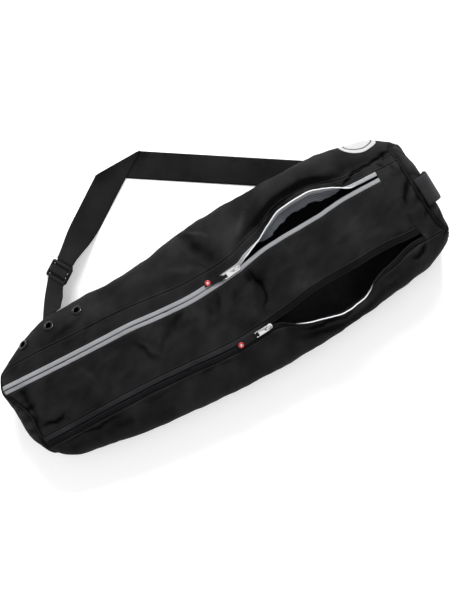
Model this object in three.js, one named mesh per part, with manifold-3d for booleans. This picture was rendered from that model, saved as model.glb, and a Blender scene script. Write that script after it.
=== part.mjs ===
// A soft bag for a rolled yoga mat, lying on its back with both zips part open.
// Millimetres, Z up, the floor at zero, X from the eyelet end to the handle end, +Y to the strap side.
import * as THREE from 'three';
import { mergeVertices } from 'three/addons/utils/BufferGeometryUtils.js';
import Module from 'manifold-3d';

const wasm = await Module();
wasm.setup();

const { clamp, lerp, degToRad, smoothstep } = THREE.MathUtils;

// Driving sizes of the body
const BAG_LENGTH = 800;
const BAG_WIDTH = 300;
const BAG_HEIGHT = 123;
const CLOTH = 2;
const GAP = 0.3;

// Driving sizes of the trimmings
const MAIN_TAPE_WIDTH = 7.6;
const POCKET_TAPE_WIDTH = 9.8;
const TAPE_THICK = 1.2;
const COIL_WIDTH = 2.6;
const COIL_BULGE = 0.6;
const SLIDER_LENGTH = 13;
const SLIDER_WIDTH = 9.6;
const SLIDER_PLATE = 1.4;
const TUNNEL_HEIGHT = 3;
const BRIDGE_WIDTH = 2.8;
const BRIDGE_THICK = 1.3;
const PULLER_LENGTH = 24;
const PULLER_WIDTH = 9.6;
const PULLER_THICK = 1.7;
const PULL_TAB_LENGTH = 36;
const PULL_TAB_WIDTH = 10;
const PULL_TAB_LAYER = 1;
const RIVET_DIAMETER = 10;
const EYELET_DIAMETER = 18;
const EYELET_HOLE = 10;
const EYELET_PITCH = 54;
const PATCH_DIAMETER = 64;
const STRAP_WIDTH = 50;
const STRAP_THICK = 1.8;
const ADJUSTER_THICK = 3;
const ADJUSTER_BAR = 5;
const ADJUSTER_SLOT = 8.6;
const HANDLE_GAP = 11;
const HANDLE_LEAN = 0.05;

// How finely the cloth is cut into flat faces
const STATION_STEP = 22;
const COLUMN_STEP = 21;
const FLAT_COLUMN_STEP = 40;
const ROUND_SIDES = 14;

// The cross section of the body, as shares of BAG_LENGTH, BAG_WIDTH and BAG_HEIGHT.
// up and down are the half widths to +Y and to -Y, and square is the power of the rounded outline.
const SECTIONS = [
  { along: -0.5, up: 0.25, down: 0.3, height: 0.75, square: 2.7 },
  { along: -0.481, up: 0.267, down: 0.335, height: 0.79, square: 2.7 },
  { along: -0.45, up: 0.313, down: 0.387, height: 0.82, square: 2.6 },
  { along: -0.4, up: 0.38, down: 0.41, height: 0.855, square: 2.5 },
  { along: -0.35, up: 0.41, down: 0.433, height: 0.89, square: 2.4 },
  { along: -0.275, up: 0.41, down: 0.463, height: 0.92, square: 2.35 },
  { along: -0.19, up: 0.408, down: 0.477, height: 0.95, square: 2.35 },
  { along: -0.112, up: 0.425, down: 0.49, height: 0.975, square: 2.35 },
  { along: -0.05, up: 0.457, down: 0.497, height: 0.99, square: 2.35 },
  { along: 0, up: 0.477, down: 0.5, height: 1, square: 2.35 },
  { along: 0.075, up: 0.485, down: 0.496, height: 1, square: 2.35 },
  { along: 0.15, up: 0.49, down: 0.483, height: 1, square: 2.35 },
  { along: 0.25, up: 0.493, down: 0.457, height: 1, square: 2.4 },
  { along: 0.325, up: 0.48, down: 0.43, height: 1, square: 2.5 },
  { along: 0.387, up: 0.447, down: 0.403, height: 1, square: 2.6 },
  { along: 0.431, up: 0.407, down: 0.373, height: 0.99, square: 2.8 },
  { along: 0.462, up: 0.36, down: 0.325, height: 0.975, square: 2.9 },
  { along: 0.485, up: 0.315, down: 0.28, height: 0.95, square: 3 },
];
const TUBE_FROM = -0.483;
const TUBE_TO = 0.474;
const MIDDLE_HEIGHT = 0.46;
const FLATTENED = 0.16;

// Where the end seams lie round the section, as shares of BAG_LENGTH. around is in degrees from +Y over the top.
const END_SEAMS = [
  { around: -90, base: -0.484, top: 0.47 },
  { around: 0, base: -0.475, top: 0.479 },
  { around: 25, base: -0.495, top: 0.453 },
  { around: 49, base: -0.501, top: 0.453 },
  { around: 70, base: -0.489, top: 0.454 },
  { around: 90, base: -0.479, top: 0.455 },
  { around: 112, base: -0.474, top: 0.457 },
  { around: 132, base: -0.476, top: 0.462 },
  { around: 155, base: -0.474, top: 0.479 },
  { around: 180, base: -0.462, top: 0.482 },
  { around: 270, base: -0.484, top: 0.47 },
];
const CAPS = {
  base: { centre: -0.506, across: -0.03, power: 3 },
  top: { centre: 0.4885, across: 0.025, power: 4 },
};

// The main zip. line is the lower coil edge, part how far the halves stand apart and strip the placket's width,
// all as shares of BAG_WIDTH. rise lifts the upper lip, as a share of BAG_HEIGHT, and turn stands its tape up.
const MAIN_ZIP_ROWS = [
  { along: -0.505, line: 0.143, part: 0, rise: 0, turn: 0, strip: 0.06 },
  { along: -0.46, line: 0.138, part: 0, rise: 0, turn: 0, strip: 0.085 },
  { along: -0.397, line: 0.132, part: 0, rise: 0, turn: 0, strip: 0.087 },
  { along: -0.297, line: 0.124, part: 0, rise: 0, turn: 0, strip: 0.083 },
  { along: -0.211, line: 0.12, part: 0, rise: 0, turn: 0, strip: 0.08 },
  { along: -0.135, line: 0.104, part: 0, rise: 0, turn: 0, strip: 0.075 },
  { along: -0.065, line: 0.094, part: 0, rise: 0, turn: 0, strip: 0.066 },
  { along: 0, line: 0.105, part: 0, rise: 0, turn: 0, strip: 0.057 },
  { along: 0.055, line: 0.121, part: 0, rise: 0, turn: 0, strip: 0.053 },
  { along: 0.078, line: 0.134, part: 0.013, rise: 0.015, turn: 8, strip: 0.05 },
  { along: 0.1, line: 0.147, part: 0.019, rise: 0.03, turn: 45, strip: 0.05 },
  { along: 0.125, line: 0.158, part: 0.027, rise: 0.05, turn: 80, strip: 0.05 },
  { along: 0.156, line: 0.163, part: 0.057, rise: 0.08, turn: 105, strip: 0.05 },
  { along: 0.187, line: 0.167, part: 0.084, rise: 0.1, turn: 122, strip: 0.05 },
  { along: 0.219, line: 0.17, part: 0.091, rise: 0.105, turn: 128, strip: 0.05 },
  { along: 0.25, line: 0.173, part: 0.09, rise: 0.1, turn: 126, strip: 0.05 },
  { along: 0.281, line: 0.182, part: 0.064, rise: 0.075, turn: 115, strip: 0.05 },
  { along: 0.312, line: 0.19, part: 0.03, rise: 0.045, turn: 80, strip: 0.05 },
  { along: 0.34, line: 0.191, part: 0.014, rise: 0.016, turn: 20, strip: 0.05 },
  { along: 0.398, line: 0.19, part: 0.011, rise: 0, turn: 0, strip: 0.05 },
  { along: 0.48, line: 0.19, part: 0.011, rise: 0, turn: 0, strip: 0.05 },
];

// The pocket zip, mirrored: line is the upper coil edge, and the lower lip is the one that bows away.
const POCKET_ZIP_ROWS = [
  { along: -0.485, line: -0.227, part: 0, rise: 0, turn: 0 },
  { along: -0.25, line: -0.227, part: 0, rise: 0, turn: 0 },
  { along: -0.137, line: -0.24, part: 0, rise: 0, turn: 0 },
  { along: -0.029, line: -0.255, part: 0, rise: 0, turn: 0 },
  { along: 0.055, line: -0.243, part: 0, rise: 0, turn: 0 },
  { along: 0.075, line: -0.235, part: 0.012, rise: 0, turn: 0 },
  { along: 0.109, line: -0.225, part: 0.058, rise: 0.024, turn: 55 },
  { along: 0.174, line: -0.197, part: 0.123, rise: 0.065, turn: 88 },
  { along: 0.206, line: -0.193, part: 0.14, rise: 0.073, turn: 92 },
  { along: 0.251, line: -0.192, part: 0.127, rise: 0.065, turn: 85 },
  { along: 0.305, line: -0.185, part: 0.083, rise: 0.024, turn: 30 },
  { along: 0.339, line: -0.183, part: 0.073, rise: 0.008, turn: 8 },
  { along: 0.405, line: -0.193, part: 0.017, rise: 0, turn: 0 },
  { along: 0.48, line: -0.197, part: 0.01, rise: 0, turn: 0 },
];
const ZIP_ENDS = { main: 0.398, pocket: 0.42 };
const SLIDERS_ALONG = 0.051;
const LIP_REACH = 0.06;

// Folds in plan, each a straight stretch from one point to another. along and across are shares of BAG_LENGTH
// and BAG_WIDTH, width and depth of BAG_HEIGHT, and a crease has a depth below zero.
const FOLDS = [
  { fromAlong: -0.018, fromAcross: 0.46, toAlong: -0.004, toAcross: 0.34, width: 0.08, depth: -0.06 },
  { fromAlong: -0.004, fromAcross: 0.34, toAlong: 0.013, toAcross: 0.25, width: 0.07, depth: -0.045 },
  { fromAlong: 0.126, fromAcross: 0.38, toAlong: 0.048, toAcross: 0.21, width: 0.09, depth: 0.04 },
  { fromAlong: 0.072, fromAcross: 0.047, toAlong: 0.079, toAcross: -0.01, width: 0.07, depth: -0.045 },
  { fromAlong: 0.079, fromAcross: -0.01, toAlong: 0.056, toAcross: -0.16, width: 0.07, depth: -0.04 },
  { fromAlong: -0.03, fromAcross: 0.01, toAlong: -0.05, toAcross: -0.1, width: 0.08, depth: -0.02 },
  { fromAlong: -0.196, fromAcross: 0, toAlong: -0.185, toAcross: -0.12, width: 0.07, depth: -0.025 },
  { fromAlong: -0.096, fromAcross: 0.04, toAlong: -0.171, toAcross: -0.08, width: 0.13, depth: 0.02 },
  { fromAlong: -0.466, fromAcross: 0.08, toAlong: -0.468, toAcross: -0.14, width: 0.08, depth: -0.045 },
  { fromAlong: 0.345, fromAcross: 0.325, toAlong: 0.43, toAcross: 0.29, width: 0.07, depth: -0.05 },
  { fromAlong: 0.445, fromAcross: 0.1, toAlong: 0.42, toAcross: -0.03, width: 0.06, depth: -0.03 },
  { fromAlong: -0.43, fromAcross: -0.335, toAlong: -0.295, toAcross: -0.35, width: 0.05, depth: -0.025 },
];

const BACK_SEAMS = { upper: -15, lower: 195 };
const PATCH_PLACE = { along: 0.404, around: 8 };
const EYELETS_PLACE = { along: -0.352, around: 20 };
const PULL_TAB_YAW = { main: -14, pocket: 2 };
const PULLER_TILT = 1;

// The shoulder strap's route in plan, as shares of BAG_LENGTH along and BAG_WIDTH across.
const STRAP_ROUTE = {
  root: { along: -0.346, around: -4 },
  adjuster: { along: -0.29, across: 0.607 },
  fold: { along: -0.065, across: 1.013 },
  side: { along: 0.166, across: 0.63 },
  tuck: [0.2, 0.27, 0.34, 0.4],
};
const ADJUSTER_BANK = 42;
// How far the strap's sewn end leans from upright, lying flat on the cloth
const ROOT_LEAN = 60;

// Smooth, never overshooting curve through one named column of a table.
function columnCurve(rows, key, at = 'along') {
  const secants = rows.slice(1).map((row, i) => (row[key] - rows[i][key]) / (row[at] - rows[i][at]));
  const slopes = rows.map((row, i) => {
    const before = secants[Math.max(i - 1, 0)];
    const after = secants[Math.min(i, secants.length - 1)];
    return before * after <= 0 ? 0 : (2 * before * after) / (before + after);
  });
  return (x) => {
    let i = 0;
    while (i < rows.length - 2 && x > rows[i + 1][at]) i += 1;
    const span = rows[i + 1][at] - rows[i][at];
    const t = clamp((x - rows[i][at]) / span, 0, 1);
    const rest = 1 - t;
    const from = rows[i][key] * (1 + 2 * t) + slopes[i] * span * t;
    const to = rows[i + 1][key] * (1 + 2 * rest) - slopes[i + 1] * span * rest;
    return from * rest * rest + to * t * t;
  };
}

const section = {
  up: columnCurve(SECTIONS, 'up'),
  down: columnCurve(SECTIONS, 'down'),
  height: columnCurve(SECTIONS, 'height'),
  square: columnCurve(SECTIONS, 'square'),
};
const seams = {
  base: columnCurve(END_SEAMS, 'base', 'around'),
  top: columnCurve(END_SEAMS, 'top', 'around'),
};

function sectionSizes(s) {
  const share = lerp(TUBE_FROM, TUBE_TO, s);
  const height = BAG_HEIGHT * section.height(share);
  const middle = MIDDLE_HEIGHT * height;
  return {
    up: BAG_WIDTH * section.up(share),
    down: BAG_WIDTH * section.down(share),
    power: section.square(share),
    middle,
    above: height - middle,
    below: middle + FLATTENED * height,
  };
}

// Turns an angle into the range from the back's middle, at -90 degrees, all the way round.
function wrapped(around) {
  const turn = 2 * Math.PI;
  return around - turn * Math.floor((around + Math.PI / 2) / turn);
}

function seamAlong(end, around) {
  return BAG_LENGTH * seams[end](THREE.MathUtils.radToDeg(wrapped(around)));
}

function placeAlong(s, around) {
  return lerp(seamAlong('base', around), seamAlong('top', around), s);
}

function stationAt(x, around) {
  const from = seamAlong('base', around);
  return (x - from) / (seamAlong('top', around) - from);
}

// The angle round the section at which its upper half lies y to the side.
function aroundAt(s, y) {
  const sizes = sectionSizes(s);
  const share = Math.min(Math.abs(y) / (y >= 0 ? sizes.up : sizes.down), 0.999);
  const rise = sizes.above * (1 - share ** sizes.power) ** (1 / sizes.power);
  return Math.atan2(rise, y);
}

function foldDepth(x, y) {
  let depth = 0;
  for (const fold of FOLDS) {
    const fromX = fold.fromAlong * BAG_LENGTH;
    const fromY = fold.fromAcross * BAG_WIDTH;
    const runX = fold.toAlong * BAG_LENGTH - fromX;
    const runY = fold.toAcross * BAG_WIDTH - fromY;
    const share = clamp(((x - fromX) * runX + (y - fromY) * runY) / (runX ** 2 + runY ** 2), 0, 1);
    const away = Math.hypot(x - fromX - share * runX, y - fromY - share * runY);
    depth += fold.depth * BAG_HEIGHT * Math.exp(-((away / (fold.width * BAG_HEIGHT)) ** 2));
  }
  return depth;
}

// A zip as curves in millimetres. side is +1 where the lip that moves is the one toward +Y.
function zipLine(rows, side, tapeWidth, endShare) {
  const curves = {
    line: columnCurve(rows, 'line'),
    part: columnCurve(rows, 'part'),
    rise: columnCurve(rows, 'rise'),
    turn: columnCurve(rows, 'turn'),
  };
  const zip = { side, tapeWidth };
  zip.coilAt = (x) => BAG_WIDTH * curves.line(x / BAG_LENGTH);
  zip.stillEdge = (x) => zip.coilAt(x) - side * (tapeWidth + GAP / 2);
  zip.lipEdge = (x) => zip.coilAt(x) + side * (BAG_WIDTH * curves.part(x / BAG_LENGTH) + tapeWidth + GAP / 2);
  zip.rise = (x) => BAG_HEIGHT * curves.rise(x / BAG_LENGTH);
  zip.turn = (x) => degToRad(curves.turn(x / BAG_LENGTH));
  zip.end = BAG_LENGTH * endShare;
  return zip;
}

const mainZip = zipLine(MAIN_ZIP_ROWS, 1, MAIN_TAPE_WIDTH, ZIP_ENDS.main);
const pocketZip = zipLine(POCKET_ZIP_ROWS, -1, POCKET_TAPE_WIDTH, ZIP_ENDS.pocket);
const stripWidth = columnCurve(MAIN_ZIP_ROWS, 'strip');

// The lip stands highest at its sewn edge, dips behind it and comes back to the body.
function lipRise(zip, x, y) {
  const reach = Math.max(zip.side * (y - zip.lipEdge(x)), 0) / (LIP_REACH * BAG_WIDTH);
  const crest = Math.exp(-((reach / 0.6) ** 2));
  const valley = 0.3 * Math.exp(-(((reach - 1.2) / 0.45) ** 2));
  return zip.rise(x) * (crest - valley);
}

// A point on the outside of the cloth: s runs from the base seam to the top seam.
function skin(s, around, lip) {
  const sizes = sectionSizes(s);
  const c = Math.cos(around);
  const q = Math.sin(around);
  const half = c >= 0 ? sizes.up : sizes.down;
  const reach = q >= 0 ? sizes.above : sizes.below;
  const reached = Math.abs(c / half) ** sizes.power + Math.abs(q / reach) ** sizes.power;
  const radius = reached ** (-1 / sizes.power);
  const point = new THREE.Vector3(placeAlong(s, around), radius * c, sizes.middle + radius * q);
  const outward = new THREE.Vector3(
    0,
    (Math.sign(c) * Math.abs(c / half) ** (sizes.power - 1)) / half,
    (Math.sign(q) * Math.abs(q / reach) ** (sizes.power - 1)) / reach,
  ).normalize();
  const upper = smoothstep(q, -0.1, 0.3);
  point.addScaledVector(outward, upper * foldDepth(point.x, point.y));
  if (lip && q > 0) point.z += lipRise(lip, point.x, point.y);
  point.z = Math.max(point.z, 0);
  return point;
}

function skinFrame(s, around, lip) {
  const step = 0.002;
  const here = skin(s, around, lip);
  const along = skin(Math.min(s + step, 1), around, lip).sub(skin(Math.max(s - step, 0), around, lip));
  const across = skin(s, around + step * 2, lip).sub(skin(s, around - step * 2, lip));
  along.normalize();
  across.normalize();
  const normal = across.clone().cross(along).normalize();
  return { here, along, across, normal };
}

// Even steps along the outline between two angles, kept half a gap inside both.
function evenAngles(s, from, to, steps) {
  const samples = 40;
  const angles = [];
  const lengths = [0];
  for (let i = 0; i <= samples; i += 1) angles.push(lerp(from, to, i / samples));
  for (let i = 1; i <= samples; i += 1) {
    lengths.push(lengths[i - 1] + skin(s, angles[i]).distanceTo(skin(s, angles[i - 1])));
  }
  const total = lengths[samples];
  const found = [];
  for (let k = 0; k <= steps; k += 1) {
    const wanted = lerp(GAP / 2, total - GAP / 2, k / steps);
    let i = 1;
    while (i < samples && lengths[i] < wanted) i += 1;
    const t = (wanted - lengths[i - 1]) / (lengths[i] - lengths[i - 1]);
    found.push(lerp(angles[i - 1], angles[i], t));
  }
  return found;
}

function meshOf(name, positions, triangles, look) {
  const geometry = new THREE.BufferGeometry();
  geometry.setAttribute('position', new THREE.Float32BufferAttribute(positions, 3));
  geometry.setIndex(triangles);
  geometry.computeVertexNormals();
  const mesh = new THREE.Mesh(geometry, new THREE.MeshStandardMaterial(look));
  mesh.name = name;
  return mesh;
}

function flatPoints(points) {
  return points.flatMap((p) => [p.x, p.y, p.z]);
}

// A closed wall between two grids of points with the same rows and columns.
function wallGeometry(outer, inner) {
  const rows = outer.length;
  const columns = outer[0].length;
  const points = [...outer.flat(), ...inner.flat()];
  const at = (layer, i, j) => layer * rows * columns + i * columns + j;
  const triangles = [];
  const quad = (a, b, c, d) => triangles.push(a, b, c, a, c, d);
  for (let i = 0; i < rows - 1; i += 1) {
    for (let j = 0; j < columns - 1; j += 1) {
      quad(at(0, i, j), at(0, i, j + 1), at(0, i + 1, j + 1), at(0, i + 1, j));
      quad(at(1, i, j), at(1, i + 1, j), at(1, i + 1, j + 1), at(1, i, j + 1));
    }
    quad(at(0, i, 0), at(0, i + 1, 0), at(1, i + 1, 0), at(1, i, 0));
    quad(at(0, i + 1, columns - 1), at(0, i, columns - 1), at(1, i, columns - 1), at(1, i + 1, columns - 1));
  }
  for (let j = 0; j < columns - 1; j += 1) {
    quad(at(0, 0, j + 1), at(0, 0, j), at(1, 0, j), at(1, 0, j + 1));
    quad(at(0, rows - 1, j), at(0, rows - 1, j + 1), at(1, rows - 1, j + 1), at(1, rows - 1, j));
  }
  return { positions: flatPoints(points), triangles };
}

// A closed solid through rings of points that all follow one closed outline. The first half of the outline
// and the second are split along matching diagonals, so that a thin twisted band doesn't cross itself.
function sweepGeometry(rings, outline) {
  const count = outline.length;
  const triangles = [];
  for (let i = 0; i < rings.length - 1; i += 1) {
    for (let j = 0; j < count; j += 1) {
      const next = (j + 1) % count;
      const a = i * count + j;
      const b = i * count + next;
      if (j < count / 2) triangles.push(a, b, b + count, a, b + count, a + count);
      else triangles.push(a, b, a + count, b, b + count, a + count);
    }
  }
  const last = (rings.length - 1) * count;
  const way = Math.sign(THREE.ShapeUtils.area(outline));
  for (const face of THREE.ShapeUtils.triangulateShape(outline, [])) {
    const corners = face.map((index) => outline[index]);
    const [a, b, c] = Math.sign(THREE.ShapeUtils.area(corners)) === way ? face : face.reverse();
    triangles.push(a, c, b, last + a, last + b, last + c);
  }
  return { positions: flatPoints(rings.flat()), triangles };
}

function solidOf(geometry) {
  const bare = geometry.clone();
  bare.deleteAttribute('normal');
  bare.deleteAttribute('uv');
  const merged = mergeVertices(bare, 1e-4);
  return new wasm.Manifold(
    new wasm.Mesh({
      numProp: 3,
      vertProperties: new Float32Array(merged.attributes.position.array),
      triVerts: new Uint32Array(merged.index.array),
    }),
  );
}

function meshOfSolid(name, solid, look) {
  const { vertProperties, triVerts } = solid.getMesh();
  return meshOf(name, Array.from(vertProperties), Array.from(triVerts), look);
}

// Looks
const BLACK_CLOTH = { color: 0x1d1d1f, roughness: 0.85, metalness: 0 };
const BLACK_WEBBING = { color: 0x222224, roughness: 0.8, metalness: 0 };
const SILVER_TAPE = { color: 0x9a9ca2, roughness: 0.6, metalness: 0 };
const BLACK_TAPE = { color: 0x19191b, roughness: 0.7, metalness: 0 };
const METAL = { color: 0xc8c8c8, roughness: 0.25, metalness: 1 };
const RED_PAINT = { color: 0xb5121b, roughness: 0.4, metalness: 0 };
const WHITE_PRINT = { color: 0xe8e8e8, roughness: 0.7, metalness: 0 };
const GLOSS_PLASTIC = { color: 0x0d0d0e, roughness: 0.25, metalness: 0 };

const bag = new THREE.Group();

// Stations along the tube, with a close pair where each zip stops
const zipStops = [mainZip, pocketZip].map((zip) => {
  const near = stationAt(zip.end, Math.PI / 2);
  const around = aroundAt(near, zip.coilAt(zip.end));
  return stationAt(zip.end, around);
});
const stopStep = (2 * GAP) / BAG_LENGTH;
function stationList() {
  const steps = Math.round(BAG_LENGTH / STATION_STEP);
  const list = [];
  for (let i = 0; i <= steps; i += 1) {
    const s = i / steps;
    if (zipStops.every((stop) => Math.abs(s - stop) > 0.25 / steps)) list.push(s);
  }
  for (const stop of zipStops) list.push(stop, stop + stopStep);
  return list.sort((a, b) => a - b);
}
const STATIONS = stationList();
const sliderStation = STATIONS.filter((s) => s < stationAt(SLIDERS_ALONG * BAG_LENGTH, Math.PI / 2)).pop();

// Limits between the panels, each an angle round the section at a station
function limitAt(s, acrossAt) {
  const guess = aroundAt(s, acrossAt(placeAlong(s, Math.PI / 2)));
  return aroundAt(s, acrossAt(placeAlong(s, guess)));
}
const LIMITS = {
  upperBack: () => degToRad(BACK_SEAMS.upper),
  placketSeam: (s) => limitAt(s, (x) => mainZip.lipEdge(x) + BAG_WIDTH * stripWidth(x / BAG_LENGTH)),
  mainLip: (s) => limitAt(s, mainZip.lipEdge),
  mainStill: (s) => limitAt(s, s > zipStops[0] ? mainZip.lipEdge : mainZip.stillEdge),
  pocketStill: (s) => limitAt(s, s > zipStops[1] ? pocketZip.lipEdge : pocketZip.stillEdge),
  pocketLip: (s) => limitAt(s, pocketZip.lipEdge),
  lowerBack: () => degToRad(BACK_SEAMS.lower),
  backRound: () => degToRad(360 + BACK_SEAMS.upper),
};

const rims = { base: [], top: [] };

function panelRows(from, to, lip, lift, wall, columnStep = COLUMN_STEP) {
  const middle = skinSpan(0.5, from(0.5), to(0.5));
  const steps = Math.max(2, Math.round(middle / columnStep));
  const outer = [];
  const inner = [];
  for (const s of STATIONS) {
    const angles = evenAngles(s, from(s), to(s), steps);
    if (s === 0) rims.base.push(...angles);
    if (s === 1) rims.top.push(...angles);
    const frames = angles.map((around) => skinFrame(s, around, lip));
    outer.push(frames.map((f) => f.here.clone().addScaledVector(f.normal, lift)));
    inner.push(frames.map((f) => f.here.clone().addScaledVector(f.normal, lift - wall)));
  }
  return { outer, inner };
}

function skinSpan(s, from, to) {
  let length = 0;
  const samples = 30;
  for (let i = 0; i < samples; i += 1) {
    length += skin(s, lerp(from, to, i / samples)).distanceTo(skin(s, lerp(from, to, (i + 1) / samples)));
  }
  return length;
}

function upperSideCorners() {
  return panelRows(LIMITS.upperBack, LIMITS.placketSeam, mainZip, 0, CLOTH, COLUMN_STEP).outer.flat();
}

function panel(name, from, to, lip, columnStep) {
  const { outer, inner } = panelRows(from, to, lip, 0, CLOTH, columnStep);
  const { positions, triangles } = wallGeometry(outer, inner);
  return meshOf(name, positions, triangles, BLACK_CLOTH);
}

bag.add(panel('back_panel', LIMITS.lowerBack, LIMITS.backRound, null, FLAT_COLUMN_STEP));
bag.add(panel('lower_side_panel', LIMITS.pocketLip, LIMITS.lowerBack, pocketZip));
bag.add(panel('front_panel', LIMITS.mainStill, LIMITS.pocketStill, null));
bag.add(panel('zip_placket', LIMITS.placketSeam, LIMITS.mainLip, mainZip));
const sidePanel = panel('upper_side_panel', LIMITS.upperBack, LIMITS.placketSeam, mainZip);

// Zip halves: a tape with a thicker coil along its free edge, one solid behind the slider and one past it
function zipTape(name, zip, isLip, look, isOpen) {
  const stop = zip === mainZip ? zipStops[0] : zipStops[1];
  const behind = STATIONS.filter((s) => s <= sliderStation);
  const past = STATIONS.filter((s) => s > sliderStation && s <= stop);
  const edge = isLip ? zip.lipEdge : zip.stillEdge;
  const toCoil = isLip ? zip.side : -zip.side;
  const width = zip.tapeWidth;
  const outline = [
    [GAP / 2, 0],
    [width - COIL_WIDTH, 0],
    [width - COIL_WIDTH * 0.5, COIL_BULGE],
    [width, COIL_BULGE],
    [width, -TAPE_THICK - COIL_BULGE],
    [width - COIL_WIDTH, -TAPE_THICK],
    [GAP / 2, -TAPE_THICK],
  ].map(([u, v]) => new THREE.Vector2(u, v));
  const rings = [];
  rims.base.push(limitAt(0, edge), limitAt(0, zip.coilAt));
  for (const station of isOpen ? [sliderStation + stopStep, ...past] : behind) {
    const s = Math.max(station, (4 * GAP) / BAG_LENGTH);
    const around = limitAt(s, edge);
    const frame = skinFrame(s, around, isLip ? zip : null);
    const turn = isLip ? zip.turn(frame.here.x) : 0;
    const flat = frame.across.clone().multiplyScalar(toCoil);
    const out = flat.clone().multiplyScalar(Math.cos(turn)).addScaledVector(frame.normal, Math.sin(turn));
    const up = frame.normal.clone().multiplyScalar(Math.cos(turn)).addScaledVector(flat, -Math.sin(turn));
    const ring = outline.map((p) => frame.here.clone().addScaledVector(out, p.x).addScaledVector(up, p.y));
    rings.push(ring);
  }
  if (toCoil < 0) {
    rings.forEach((ring) => ring.reverse());
    outline.reverse();
  }
  const { positions, triangles } = sweepGeometry(rings, outline);
  return meshOf(name, positions, triangles, look);
}

for (const isOpen of [false, true]) {
  const state = isOpen ? 'open' : 'closed';
  bag.add(zipTape(`main_zip_${state}_upper`, mainZip, true, SILVER_TAPE, isOpen));
  bag.add(zipTape(`main_zip_${state}_lower`, mainZip, false, SILVER_TAPE, isOpen));
  bag.add(zipTape(`pocket_zip_${state}_upper`, pocketZip, false, BLACK_TAPE, isOpen));
  bag.add(zipTape(`pocket_zip_${state}_lower`, pocketZip, true, BLACK_TAPE, isOpen));
}

// End caps: domes that start at the end seams and close over the ends
const CAP_RINGS = [1, 0.93, 0.82, 0.62, 0.32];

function rimAngles(end) {
  const sorted = rims[end].map(wrapped).sort((a, b) => a - b);
  const s = end === 'base' ? 0 : 1;
  return sorted.filter((a, i) => i === 0 || skin(s, a).distanceTo(skin(s, sorted[i - 1])) > 4 * GAP);
}

function capPoint(end, around, share) {
  const s = end === 'base' ? 0 : 1;
  const away = end === 'base' ? -1 : 1;
  const seam = skin(s, around);
  const sizes = sectionSizes(s);
  const centre = new THREE.Vector3(
    CAPS[end].centre * BAG_LENGTH,
    CAPS[end].across * BAG_WIDTH,
    sizes.middle,
  );
  const point = centre.clone().lerp(seam, share);
  point.x = lerp(centre.x, seam.x, share ** CAPS[end].power) + away * 2 * GAP;
  return point;
}

function capNormal(end, around, share) {
  if (share === 1) return skinFrame(end === 'base' ? 0 : 1, around).normal;
  const step = 0.01;
  const outward = capPoint(end, around, share + step).sub(capPoint(end, around, share - step));
  const round = capPoint(end, around + step, share).sub(capPoint(end, around - step, share));
  const normal = outward.cross(round).normalize();
  return Math.sign(normal.x) === (end === 'base' ? -1 : 1) ? normal : normal.negate();
}

function endCap(name, end) {
  const angles = rimAngles(end);
  const count = angles.length;
  const away = end === 'base' ? -1 : 1;
  const outer = [];
  const inner = [];
  for (const share of CAP_RINGS) {
    for (const around of angles) {
      const point = capPoint(end, around, share);
      outer.push(point);
      inner.push(point.clone().addScaledVector(capNormal(end, around, share), -CLOTH));
    }
  }
  const tip = capPoint(end, 0, 0);
  const points = [...outer, tip, ...inner, tip.clone().add(new THREE.Vector3(-away * CLOTH, 0, 0))];
  const layer = outer.length + 1;
  const triangles = [];
  const add = (a, b, c) => (away > 0 ? triangles.push(a, b, c) : triangles.push(a, c, b));
  const last = CAP_RINGS.length - 1;
  for (let j = 0; j < count; j += 1) {
    const next = (j + 1) % count;
    for (let i = 0; i < last; i += 1) {
      const a = i * count + j;
      const b = i * count + next;
      add(a, b, b + count);
      add(a, b + count, a + count);
      add(layer + a, layer + b + count, layer + b);
      add(layer + a, layer + a + count, layer + b + count);
    }
    const a = last * count + j;
    const b = last * count + next;
    add(a, b, outer.length);
    add(layer + a, layer + outer.length, layer + b);
    add(j, layer + next, next);
    add(j, layer + j, layer + next);
  }
  return meshOf(name, flatPoints(points), triangles, BLACK_CLOTH);
}

bag.add(endCap('end_cap_base', 'base'));
bag.add(endCap('end_cap_top', 'top'));

// A local frame on the cloth: X along the bag, Z out of the cloth
function basisAt(frame) {
  const x = frame.along.clone();
  const z = frame.normal.clone();
  const y = z.clone().cross(x).normalize();
  return new THREE.Matrix4().makeBasis(x, y, z).setPosition(frame.here);
}

function turned(profile, sides = ROUND_SIDES) {
  const points = profile.map(([r, z]) => new THREE.Vector2(r, z));
  if (points[0].x > 0) points.push(points[0].clone());
  return new THREE.LatheGeometry(points.reverse(), sides).rotateX(Math.PI / 2);
}

// Eyelets: a flanged ring through the side panel, which is cut to seat it
const EYELET_FLANGE = 0.9;
const EYELET_BARREL = 1.2;
function eyeletProfile(clear) {
  const hole = EYELET_HOLE / 2 - (clear > 0 ? EYELET_HOLE / 2 : 0);
  const barrel = EYELET_HOLE / 2 + EYELET_BARREL + clear;
  const flange = EYELET_DIAMETER / 2 + clear;
  const seat = CLOTH / 4;
  const top = EYELET_FLANGE + clear;
  return [
    [hole, top],
    [flange - 0.5, top],
    [flange, top - 0.5],
    [flange, -seat - clear],
    [barrel, -seat - clear],
    [barrel, -CLOTH - GAP - clear],
    [hole, -CLOTH - GAP - clear],
  ];
}

function eyeletPlace(index) {
  const around = degToRad(EYELETS_PLACE.around);
  const x = EYELETS_PLACE.along * BAG_LENGTH + (index - 1) * EYELET_PITCH;
  return basisAt(skinFrame(stationAt(x, around), around, mainZip));
}

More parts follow.
